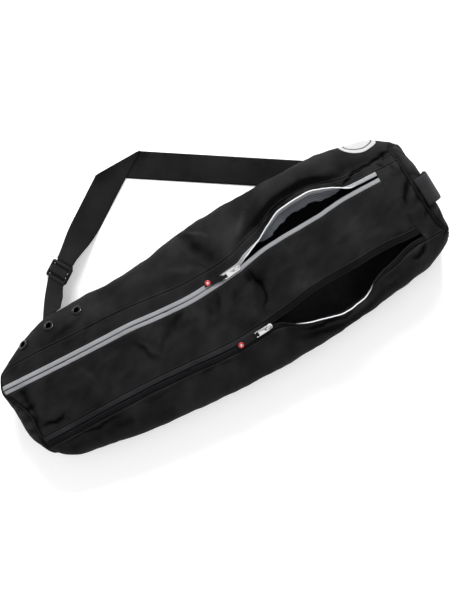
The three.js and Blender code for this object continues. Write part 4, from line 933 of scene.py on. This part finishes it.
def turned_piece(name, node, profile, top):
    """A profile of radius and height turned round a node's axis; one that starts off the axis is a ring."""
    origin, side, other, axis = axis_frame(node, top)
    turns = full_turn(TURNED_SIDES)
    radius, height = np.array(profile).T
    ring = circle(turns, side, other)
    rings = origin + ring[None] * radius[:, None, None] + axis * height[:, None, None]
    if radius[0] > ON_AXIS:
        return sweep_mesh(name, np.swapaxes(rings, 0, 1), turns, np.arange(len(radius)), True)
    return sweep_mesh(name, rings, np.arange(len(radius)), turns)


def arc(centre_r, centre_z, radius, start, end, count=6):
    turns = np.radians(np.linspace(start, end, count))
    return [(centre_r + radius * math.cos(t), centre_z + radius * math.sin(t)) for t in turns]


def make_eyelet(index):
    hole, flange = EYELET_HOLE / 2, EYELET_DIAMETER / 2
    barrel = hole + EYELET_BARREL
    profile = (
        arc(hole + EYELET_CURL, EYELET_FLANGE - EYELET_CURL * 0.5, EYELET_CURL, 180, 90)
        + arc(flange - EYELET_ROUND, EYELET_FLANGE - EYELET_ROUND, EYELET_ROUND, 80, 0, 4)
        + [(flange, -CLOTH / 4), (barrel, -CLOTH / 4), (barrel, -CLOTH - GAP), (hole, -CLOTH - GAP)]
    )
    return turned_piece(f"eyelet_ring_{index}", f"eyelet_{index}", profile, EYELET_FLANGE)


def make_rivet(name, node):
    """A domed enamel rim, and a plain pale disc let into its middle."""
    radius = RIVET_DIAMETER / 2
    inset = radius * 0.4
    rim = [(ON_AXIS, 1.25), (inset, 1.25), (inset + 0.15, 1.7)] + arc(radius - 1.35, 0.6, 1.25, 95, 0, 8)
    rim += [(radius, GAP), (ON_AXIS, GAP)]
    disc = [(ON_AXIS, 1.3), (inset - 0.05, 1.3), (inset - 0.05, 1.42), (inset - 0.3, 1.55), (ON_AXIS, 1.62)]
    parts = {"rim": rim, "centre": disc}
    return [turned_piece(f"{name}_{part}", node, profile, RIVET_TOP) for part, profile in parts.items()]


def rounded_copy(name, node, edge, segments=3):
    """A copy of a CAD node with its sharp edges eased, in metres throughout."""
    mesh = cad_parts[node].data.copy()
    work = bmesh.new()
    work.from_mesh(mesh)
    bmesh.ops.remove_doubles(work, verts=work.verts, dist=0.002 * MM)
    bmesh.ops.dissolve_limit(
        work, angle_limit=math.radians(1), verts=work.verts, edges=work.edges, delimit={"NORMAL"}
    )
    work.to_mesh(mesh)
    work.free()
    made = link(bpy.data.objects.new(name, mesh))
    mesh.polygons.foreach_set("use_smooth", [True] * len(mesh.polygons))
    bevel = made.modifiers.new("eased", "BEVEL")
    bevel.width = edge * MM
    bevel.segments = segments
    bevel.limit_method = "ANGLE"
    bevel.angle_limit = math.radians(28)
    bevel.harden_normals = True
    bevel.use_clamp_overlap = True
    return made


# The side panel's holes, and the plain print on it
HOLE_RADIUS = EYELET_HOLE / 2 + EYELET_BARREL + 0.9
PATCH_RINGS = 25
PATCH_SIDES = 96
PATCH_WALKS = 14
PATCH_TURN_RADIUS = 90


def pierce(panel, node):
    """Opens the cloth under an eyelet, and rounds the opening's edge off to a circle."""
    origin, _, _, axis = axis_frame(node, EYELET_FLANGE)
    work = bmesh.new()
    work.from_mesh(panel.data)
    reach = (HOLE_RADIUS + 3) * MM
    centre, way = Vector(origin * MM), Vector(axis)

    def off_axis(point):
        away = point - centre
        return away - way * away.dot(way)

    near = [v for v in work.verts if (v.co - centre).length < 2 * reach]
    inside = {v for v in near if off_axis(v.co).length < HOLE_RADIUS * MM}
    removed = [f for f in work.faces if any(v in inside for v in f.verts)]
    bmesh.ops.delete(work, geom=removed, context="FACES")
    edges = [e for e in work.edges if len(e.link_faces) == 1]
    for vertex in {v for e in edges for v in e.verts}:
        away = off_axis(vertex.co)
        vertex.co += away.normalized() * (HOLE_RADIUS * MM - away.length)
    bmesh.ops.bridge_loops(work, edges=edges)
    bmesh.ops.recalc_face_normals(work, faces=work.faces)
    work.to_mesh(panel.data)
    work.free()


def make_patch():
    """A thin printed disc over the side, found by walking out on the cloth from its middle."""
    around = math.radians(PATCH_PLACE["around"])
    middle = float(station_at(PATCH_PLACE["along"] * BAG_LENGTH, around))
    centre, along, across, normal = skin_frame(np.array(middle), np.array(around), MAIN)
    upright = np.cross(normal, along)
    radius = np.linspace(0, PATCH_DIAMETER / 2, PATCH_RINGS + 1)[1:]
    turns = full_turn(PATCH_SIDES)
    u = (radius[:, None] * np.cos(turns)).ravel()
    v = (radius[:, None] * np.sin(turns)).ravel()
    s, angle = np.full_like(u, middle), np.full_like(u, around)
    for _ in range(PATCH_WALKS):
        away = skin(s, angle, MAIN) - centre
        s = s + (u - away @ along) / BAG_LENGTH
        angle = angle + (v - away @ upright) / PATCH_TURN_RADIUS * np.sign(upright @ across)
    here, _, _, lift = skin_frame(s, angle, MAIN, True)
    height = GAP * 0.4 + PATCH_THICK * 0.5
    top = here + lift * height
    top_middle = skin(middle, around, MAIN, True) + normal * height
    points = np.concatenate([top, here + lift * 0.05, [top_middle]])
    rim = len(top) - PATCH_SIDES
    faces = []
    for ring in range(0, rim, PATCH_SIDES):
        faces += ring_faces(ring, ring + PATCH_SIDES, PATCH_SIDES)
    faces += ring_faces(rim, rim + len(top), PATCH_SIDES) + fan_faces(0, 2 * len(top), PATCH_SIDES)
    pairs = np.concatenate([np.stack([u, v], -1)] * 2 + [np.zeros((1, 2))])
    return outward(mesh_object("print_disc", points, faces, pairs))


# Webbing: a flat band through stations, each with two edge points and a normal
UP = np.array([0.0, 0, 1])
HALF_STRAP = STRAP_WIDTH / 2
BAND_COLUMNS = 15
ADJUSTER_LENGTH = 3 * ADJUSTER_BAR + 2 * ADJUSTER_SLOT
ADJUSTER_WIDTH = STRAP_WIDTH + 4 * GAP + 2 * ADJUSTER_BAR
WEAVE_OVER = ADJUSTER_BAR / 2 + 2 * GAP
WEAVE_UNDER = ADJUSTER_BAR / 2 + ADJUSTER_SLOT - 2 * GAP


def band_mesh(name, band):
    """band holds left, right and normal rows."""
    left, right, normal = (np.array(part) for part in zip(*band))
    centre = (left + right) / 2
    across = np.linspace(-1, 1, BAND_COLUMNS)
    round_edge = np.sqrt(np.clip(1 - ((np.abs(across) - 0.965) / 0.035).clip(0, 1) ** 2, 0, 1))
    thick = STRAP_THICK / 2 * np.maximum(round_edge, 0.25)
    u = np.concatenate([across, across[::-1]])
    v = np.concatenate([thick, -thick[::-1]])
    rings = rings_at(centre, (right - left) / 2, unit(normal), u, v)
    return sweep_mesh(name, rings, travelled_along(centre), u * HALF_STRAP)


def band_station(centre, width, normal):
    return centre + width * HALF_STRAP, centre - width * HALF_STRAP, normal


def route_point(name):
    along, across = STRAP_ROUTE[name]
    return np.array([along * BAG_LENGTH, across * BAG_WIDTH, 0.0])


def weave_offset(distance):
    depth = ADJUSTER_THICK / 2 + STRAP_THICK / 2 + GAP
    return depth * (1 - 2 * smoothstep(abs(distance), WEAVE_OVER, WEAVE_UNDER))


def tucked_under(height):
    """How far out the cloth still lies lower than a height, where the strap runs in under the side."""
    reach = 0.0
    around = np.radians(np.arange(-10, -80, -1.0))
    for along in STRAP_ROUTE["tuck"]:
        cloth = skin(station_at(along * BAG_LENGTH, around), around)
        low = cloth[cloth[:, 2] <= height]
        reach = max(reach, low[0, 1] if len(low) else 0)
    return reach


def strap_band():
    adjuster, fold, side = (route_point(name) for name in ("adjuster", "fold", "side"))
    out, back = unit(fold - adjuster), unit(side - fold)
    crease = unit(out + back)
    out_left, back_left = np.cross(UP, out), np.cross(UP, back)
    lean = math.acos(out @ crease)
    crease_half, crease_run = HALF_STRAP / math.sin(lean), HALF_STRAP / math.tan(lean)
    bank = math.radians(ADJUSTER_BANK)
    low = STRAP_THICK / 2
    high = low + STRAP_THICK + 2 * GAP
    frame_height = ADJUSTER_WIDTH / 2 * math.sin(bank) + ADJUSTER_THICK / 2 * math.cos(bank) + GAP
    band = []

    def add(centre, width, direction=out):
        band.append(band_station(centre, width, np.cross(direction, width)))

    def tilted(tilt):
        return out_left * math.cos(tilt) - UP * math.sin(tilt)

    # from the side of the bag to the adjuster
    root_along, root_turn = STRAP_ROUTE["root"]
    root_around = math.radians(root_turn)
    root_s = station_at(root_along * BAG_LENGTH, root_around)
    root, _, root_across, root_normal = skin_frame(root_s, root_around)
    start = root - root_normal * CLOTH
    middle = adjuster + UP * frame_height
    reach = ADJUSTER_LENGTH / 2 + 3
    frame_width = tilted(bank)
    frame_normal = unit(np.cross(out, frame_width))
    ends = weave_offset(reach)
    frame_in = middle - out * reach + frame_normal * ends
    root_width = np.cross(root_across, root_normal) * math.sin(ROOT_LEAN) - root_across * math.cos(ROOT_LEAN)
    for t in np.arange(0, 1, 1 / 30):
        width = unit(lerp(root_width, frame_width, smoothstep(t, 0, 1)))
        add(lerp(start, frame_in, t), width, unit(lerp(root_normal, out, math.sqrt(t))))

    # through the adjuster
    for distance in np.arange(-reach, reach, 0.9):
        add(middle + out * distance + frame_normal * weave_offset(distance), frame_width)

    # down to the floor and out to the fold, where it climbs on its own other leg
    leg_from, leg_to = reach - np.linalg.norm(fold - adjuster), -crease_run - HALF_STRAP / 2
    for t in np.linspace(0, 1, 70):
        tilt = bank * (1 - smoothstep(t, 0, 0.6))
        climb = lerp(low, high, smoothstep(t, 0.6, 1))
        held = (frame_height + ends - HALF_STRAP * math.sin(bank)) * (1 - smoothstep(t, 0, 0.5))
        centre = fold + out * lerp(leg_from, leg_to, t)
        add(centre + UP * (HALF_STRAP * math.sin(tilt) + max(climb, held)), tilted(tilt))

    # round the crease, whose lines all run along it
    outer = np.cross(UP, crease)
    radius = (high - low) / 2
    for turn in np.linspace(0, math.pi, 14):
        normal = outer * math.sin(turn) + UP * math.cos(turn)
        shift = normal * radius + UP * (low + radius)
        band.append((fold - crease * crease_half + shift, fold + crease * crease_half + shift, normal))

    # back to the bag, and in under its side
    tuck = tucked_under(STRAP_THICK + 3 * GAP)
    floor = fold + UP * low

    def end_at(way):
        return (tuck - fold[1] - way * back_left[1] * HALF_STRAP) / back[1]

    def back_station(left_at, right_at):
        left = floor + back * left_at - back_left * HALF_STRAP
        right = floor + back * right_at + back_left * HALF_STRAP
        band.append((left, right, -UP))

    square_to = min(end_at(1), end_at(-1)) - HALF_STRAP / 4
    for at in np.linspace(crease_run + HALF_STRAP / 2, square_to, 70):
        back_station(at, at)
    back_station(end_at(-1), end_at(1))
    return band


def handle_band():
    def centre_line(t):
        return cap_point("top", np.where(t < 0.5, math.pi / 2, -math.pi / 2), abs(1 - 2 * t))

    width_way = cap_point("top", np.array(0.0), 0.5) - cap_point("top", np.array(math.pi), 0.5)
    width_way = unit(np.array([-HANDLE_LEAN * width_way[1], width_way[1], 0]))
    band = []
    for share in np.linspace(0, 1, 60):
        t = lerp(*HANDLE_SPAN, share)
        along = unit((centre_line(t + 0.01) - centre_line(t - 0.01)) * [1, 0, 1])
        normal = np.array([-along[2], 0, along[0]])
        bow = HANDLE_GAP * max(math.sin(math.pi * share), 0) ** 0.8
        off = 2 * GAP + STRAP_THICK / 2 + HANDLE_LEAN * STRAP_WIDTH * t + bow
        band.append(band_station(centre_line(t) + normal * off, width_way, normal))
    return band


# Materials, each a small node graph
PRINT_RING = (0.72, 0.8)
PAINTED_RELIEF_SHADE = 0.9
FRESH_SHARE = 0.3
COIL_FADE = 9


def shaded(colour, by):
    return tuple(c * by for c in colour)


class Look:
    """A material's node graph; shades says what goes into its shader's sockets."""

    def __init__(self, name, shades):
        self.material = bpy.data.materials.new(name)
        self.material.use_nodes = True
        self.nodes, self.links = self.material.node_tree.nodes, self.material.node_tree.links
        self.shade(shades)

    def feed(self, node, values):
        """Gives a node's inputs plain values, or links them to other nodes' outputs."""
        for key, value in values.items():
            if isinstance(value, bpy.types.NodeSocket):
                self.links.new(value, node.inputs[key])
            else:
                node.inputs[key].default_value = value
        return node

    def shade(self, values):
        self.feed(self.nodes["Principled BSDF"], values)

    def add(self, kind, values, **settings):
        node = self.nodes.new(kind)
        for key, value in settings.items():
            setattr(node, key, value)
        return self.feed(node, values).outputs

    def maths(self, operation, *values):
        return self.add("ShaderNodeMath", dict(enumerate(values)), operation=operation)[0]

    def place(self):
        return self.add("ShaderNodeTexCoord", {})["Object"]

    def cloth_place(self):
        return self.add("ShaderNodeUVMap", {}, uv_map="cloth")["UV"]

    def split(self, vector):
        return self.add("ShaderNodeSeparateXYZ", {0: vector})

    def noise(self, place, scale, detail=3, roughness=0.5):
        values = {"Vector": place, "Scale": scale, "Detail": detail, "Roughness": roughness}
        return self.add("ShaderNodeTexNoise", values)["Fac"]

    def ramp(self, value, low, high, first, second):
        """Fades from the first colour to the second as a value goes from low to high."""
        node = self.feed(self.nodes.new("ShaderNodeValToRGB"), {"Fac": value})
        for element, place, colour in zip(node.color_ramp.elements, (low, high), (first, second)):
            element.position = place
            element.color = (*colour, 1)
        return node.outputs["Color"]

    def bump(self, height, distance):
        relief = self.add("ShaderNodeBump", {"Distance": distance * MM, "Height": height})
        self.shade({"Normal": relief["Normal"]})


def printed_disc(name, pale, dark):
    """A pale print with one plain dark ring; the disc's uv holds millimetres from its middle."""
    look = Look(name, {"Roughness": 0.6})
    length = look.add("ShaderNodeVectorMath", {0: look.cloth_place()}, operation="LENGTH")["Value"]
    middle = sum(PRINT_RING) / 2 * PATCH_DIAMETER / 2 * MM
    half = (PRINT_RING[1] - PRINT_RING[0]) / 2 * PATCH_DIAMETER / 2 * MM
    away = look.maths("ABSOLUTE", look.maths("SUBTRACT", length, middle))
    look.shade({"Base Color": look.ramp(look.maths("MULTIPLY", away, 0.5 / half), 0.42, 0.58, dark, pale)})
    return look.material


def woven(
    name, colour, roughness, pitch, relief=0.12, specular=0.02, rib=1,
    fleck=0.3, sheen=0, stripe=0, until=None,
):
    """Cloth of crossing threads. pitch and relief are the threads' own in millimetres, and rib is how many
    times closer the ones across lie. fleck is how unevenly it is dyed, stripe the pitch of darker lines along
    the piece, where it has any, and until is how far along the bag the cloth is worn pale."""
    gloss = {"Roughness": roughness, "Specular IOR Level": specular}
    look = Look(name, gloss | {"Sheen Weight": sheen, "Sheen Roughness": 0.5})
    maths, place = look.maths, look.place()
    along, across, _ = look.split(look.cloth_place())
    turn = 2 * math.pi / (pitch * MM)
    warp = maths("SINE", maths("MULTIPLY", along, turn))
    weft = maths("SINE", maths("MULTIPLY", across, turn * rib))
    uneven = maths("MULTIPLY", look.noise(place, 900, 2), 0.8)
    look.bump(maths("ADD", maths("MULTIPLY", warp, weft), uneven), relief)
    dye = look.noise(place, 14, 4, 0.6)
    tint = look.ramp(dye, 0.35, 0.65, shaded(colour, 1 - fleck), shaded(colour, 1 + fleck))
    # Painted shade and highlight: the mesh's relief attribute darkens the colour in folds and hollows and
    # lightens it on ridges, before the real stripes and wear are laid on
    folds = look.add("ShaderNodeAttribute", {}, attribute_name="relief")["Fac"]
    light = maths("MULTIPLY_ADD", folds, PAINTED_RELIEF_SHADE, 1)
    if stripe:
        lines = maths("SINE", maths("MULTIPLY", across, turn * pitch / stripe))
        light = maths("MULTIPLY", light, maths("MULTIPLY_ADD", lines, 0.4, 1))
    if until is not None:
        past = maths("ADD", look.split(place)[0], 0.5 - until * MM)
        light = maths("MULTIPLY", light, look.ramp(past, 0.49, 0.51, (1, 1, 1), (FRESH_SHARE,) * 3))
    lit = look.add("ShaderNodeVectorMath", {0: tint, "Scale": light}, operation="SCALE")[0]
    look.shade({"Base Color": lit})
    return look.material


def metal(name, colour, roughness):
    look = Look(name, {"Metallic": 1})
    place = look.place()
    worn = look.noise(place, 420, 4, 0.6)
    tint = look.ramp(worn, 0.35, 0.6, shaded(colour, 0.82), colour)
    look.shade({"Base Color": tint, "Roughness": look.maths("MULTIPLY_ADD", worn, 0.22, roughness - 0.1)})
    look.bump(look.noise(place, 1500, 2), 0.02)
    return look.material


def smooth_solid(name, colour, roughness, specular=0.5, coat=0):
    """Plastic, enamel or print: one colour with a little wear in its gloss."""
    look = Look(name, {"Specular IOR Level": specular, "Coat Weight": coat})
    worn = look.noise(look.place(), 300)
    tint = look.ramp(worn, 0.35, 0.65, shaded(colour, 0.9), colour)
    look.shade({"Base Color": tint, "Roughness": look.maths("MULTIPLY_ADD", worn, 0.15, roughness - 0.07)})
    look.bump(worn, 0.03)
    return look.material


def changing_coil(name, outside, inside, start, end):
    """A coil whose colour differs between two places along the bag, in millimetres."""
    look = Look(name, {"Roughness": 0.4, "Specular IOR Level": 0.1})
    middle = look.maths("SUBTRACT", look.split(look.place())[0], (start + end) / 2 * MM)
    away = look.maths("MULTIPLY", look.maths("ABSOLUTE", middle), 1 / ((end - start) * MM))
    soft = COIL_FADE / (end - start)
    look.shade({"Base Color": look.ramp(away, 0.5 - soft, 0.5 + soft, inside, outside)})
    return look.material


GREY = (0.22, 0.225, 0.24)
SILVER = (0.75, 0.76, 0.78)
BLACK = (0.007, 0.007, 0.008)
SHELL = woven("shell nylon", (0.0165, 0.0165, 0.0168), 0.55, 0.75)
CAP = woven("cap nylon", (0.0125, 0.0125, 0.0128), 0.55, 0.75)
GREY_TAPE = woven("grey zip tape", (0.31, 0.314, 0.328), 0.6, 1, 0.2, 0.4, 1.6, fleck=0.1, sheen=0.1)
BLACK_TAPE = woven("black zip tape", (0.009, 0.009, 0.01), 0.5, 1, 0.2, rib=1.6)
WORN_TAPE = woven("worn zip tape", (0.024, 0.024, 0.026), 0.5, 1, 0.2, rib=1.6, until=38)
INNER_TAPE = woven("inner zip tape", (0.085, 0.09, 0.104), 0.6, 1, 0.2, 0.2, 1.6, fleck=0.15, stripe=3.4)
GREY_COIL = smooth_solid("grey zip coil", GREY, 0.35)
SILVER_COIL = changing_coil("silver zip coil", GREY, SILVER, 60, 272)
BLACK_COIL = smooth_solid("black zip coil", BLACK, 0.5, 0.05)
BARE_COIL = changing_coil("bare zip coil", BLACK, SILVER, 92, 218)
NICKEL = metal("nickel", (0.52, 0.52, 0.512), 0.25)
EYELET_NICKEL = metal("eyelet nickel", (0.05, 0.05, 0.052), 0.22)
TAB = woven("tab webbing", (0.01, 0.01, 0.0105), 0.55, 0.9, 0.2, 0.04)
RED = smooth_solid("red enamel", (0.42, 0.01, 0.018), 0.3, 0.5, 0.4)
PALE = smooth_solid("pale enamel", (0.6, 0.55, 0.55), 0.35)
STRAP = woven("strap webbing", (0.0108, 0.0108, 0.0112), 0.5, 1.5, 0.3, 0.03, 0.5)
HANDLE = woven("handle webbing", (0.0155, 0.0155, 0.017), 0.55, 1.5, 0.3, 0.1, 0.5)
ADJUSTER = smooth_solid("adjuster plastic", (0.005, 0.005, 0.006), 0.32, 0.06)
PRINT = printed_disc("print", (0.36, 0.36, 0.365), (0.02, 0.02, 0.022))
THREAD = smooth_solid("black thread", (0.012, 0.012, 0.013), 0.5)


# The cloth body, with stitching beside the zips and along the placket's seam
PANELS = [
    ("back_cloth", "back_panel", "lower_back", "back_round", None, BACK_STEP),
    ("lower_side_cloth", "lower_side_panel", "pocket_lip", "lower_back", POCKET, CLOTH_STEP),
    ("front_cloth", "front_panel", "main_still", "pocket_still", None, CLOTH_STEP),
    ("placket_cloth", "zip_placket", "placket_seam", "main_lip", MAIN, CLOTH_STEP),
    ("upper_side_cloth", "upper_side_panel", "upper_back", "placket_seam", MAIN, CLOTH_STEP),
]
stitched = []
for name, node, start, end, lip, step in PANELS:
    grid = panel_grid(start, end, lip, step)
    panel = dress(make_panel(name, grid, lip), SHELL, "bag", [node])
    if end in ("pocket_still", "main_lip", "placket_seam"):
        stitched.append(stitch_line(grid, True))
    if start in ("pocket_lip", "main_still", "placket_seam"):
        stitched.append(stitch_line(grid, False))
    if node == "upper_side_panel":
        for index in (1, 2, 3):
            pierce(panel, f"eyelet_{index}")

for end in ("base", "top"):
    dress(make_cap(end), CAP, "bag", [f"end_cap_{end}"])
    dress(make_piping(end), CAP, "bag")
dress(stitch_rows("seam_stitches", stitched), THREAD, "bag")

# Zips
ZIP_LOOKS = {
    ("main", True): (GREY_TAPE, SILVER_COIL, "grey_zip_tape"),
    ("main", False): (GREY_TAPE, GREY_COIL, "grey_zip_tape"),
    ("pocket", True): (BLACK_TAPE, BARE_COIL, "black_zip_tape"),
    ("pocket", False): (WORN_TAPE, BLACK_COIL, "black_zip_tape"),
}
for zip_line in (MAIN, POCKET):
    for is_lip in (True, False):
        tape_look, coil_look, slot = ZIP_LOOKS[zip_line.name, is_lip]
        side = zip_line.side_name(is_lip)
        halves = [f"{zip_line.name}_zip_{state}_{side}" for state in ("closed", "open")]
        dress(make_tape(zip_line, is_lip), tape_look, "bag", halves)
        dress(make_coil(zip_line, is_lip), coil_look, "bag")
dress(make_hem(), INNER_TAPE, "bag")

# Sliders and pullers with their tabs
for name in ("main", "pocket"):
    for node, made, edge, look, body, slot in (
        (f"{name}_zip_slider", f"{name}_slider_body", 0.35, NICKEL, "bag", "zip_metal"),
        (f"{name}_zip_puller", f"{name}_puller_plate", 0.3, NICKEL, f"{name}_pull", "zip_metal"),
        (f"{name}_pull_tab", f"{name}_tab_cloth", 0.35, TAB, f"{name}_pull", "tab_webbing"),
    ):
        dress(rounded_copy(made, node, edge), look, body, [node])
    rim, disc = make_rivet(f"{name}_rivet", f"{name}_tab_rivet")
    dress(rim, RED, f"{name}_pull", [f"{name}_tab_rivet"])
    dress(disc, PALE, f"{name}_pull")

# Eyelets, print, strap and handle
for index in (1, 2, 3):
    dress(make_eyelet(index), EYELET_NICKEL, "bag", [f"eyelet_{index}"])
dress(make_patch(), PRINT, "bag", ["side_patch"])
dress(band_mesh("strap_webbing", strap_band()), STRAP, "bag", ["shoulder_strap"])
dress(band_mesh("handle_loop", handle_band()), HANDLE, "bag", ["end_handle"])
buckle = rounded_copy("adjuster_frame", "strap_adjuster", 0.7, 4)
dress(buckle, ADJUSTER, "bag", ["strap_adjuster"])

# The floor, the light and the camera, which looks straight down with the bag turned as in the photo
FLOOR_SIZE = 6.0
FLOOR_DROP = 0.4
FLOOR_GLOW = 0.3
WORLD_LIGHT = 0.55
CAMERA_HEIGHT = 1.6
FLOOR_SCALE = 1.78
PHOTO_LONG_SIDE = 600
BAG_TURN = math.radians(28.5)
SENSOR = 36


def make_floor():
    half = FLOOR_SIZE / 2 / MM
    corners = [(x * half, y * half, -FLOOR_DROP) for x, y in ((-1, -1), (1, -1), (1, 1), (-1, 1))]
    floor = mesh_object("floor", corners, [(0, 1, 2, 3)])
    look = Look("pale floor", {"Roughness": 0.8})
    look.shade({"Emission Color": (1, 1, 1, 1), "Emission Strength": FLOOR_GLOW})
    look.shade({"Base Color": look.ramp(look.noise(look.place(), 3), 0.3, 0.7, (0.86,) * 3, (0.88,) * 3)})
    floor.data.materials.append(look.material)


def area_light(name, place, aim, size, power):
    light = bpy.data.lights.new(name, "AREA")
    light.shape = "RECTANGLE"
    light.size = light.size_y = size
    light.energy = power
    lamp = link(bpy.data.objects.new(name, light))
    lamp.location = place
    lamp.rotation_euler = (Vector(aim) - Vector(place)).to_track_quat("-Z", "Y").to_euler()


make_floor()
area_light("key", (0.9, 2.1, 1.7), (0, 0, 0.05), 1.1, 95)
area_light("overhead", (-0.4, -0.3, 2.6), (0, 0, 0), 2.4, 22)
world = bpy.data.worlds.new("studio")
bpy.context.scene.world = world
world.use_nodes = True
world.node_tree.nodes["Background"].inputs["Color"].default_value = (1, 1, 1, 1)
world.node_tree.nodes["Background"].inputs["Strength"].default_value = WORLD_LIGHT

camera_data = bpy.data.cameras.new("camera")
camera_data.sensor_width = SENSOR
camera_data.lens = SENSOR * CAMERA_HEIGHT / (FLOOR_SCALE * PHOTO_LONG_SIDE * MM)
camera = link(bpy.data.objects.new("camera", camera_data))
camera.location = (0, 0, CAMERA_HEIGHT)
camera.rotation_euler = (0, 0, -BAG_TURN)
bpy.context.scene.camera = camera
bpy.context.scene.view_settings.view_transform = "Standard"
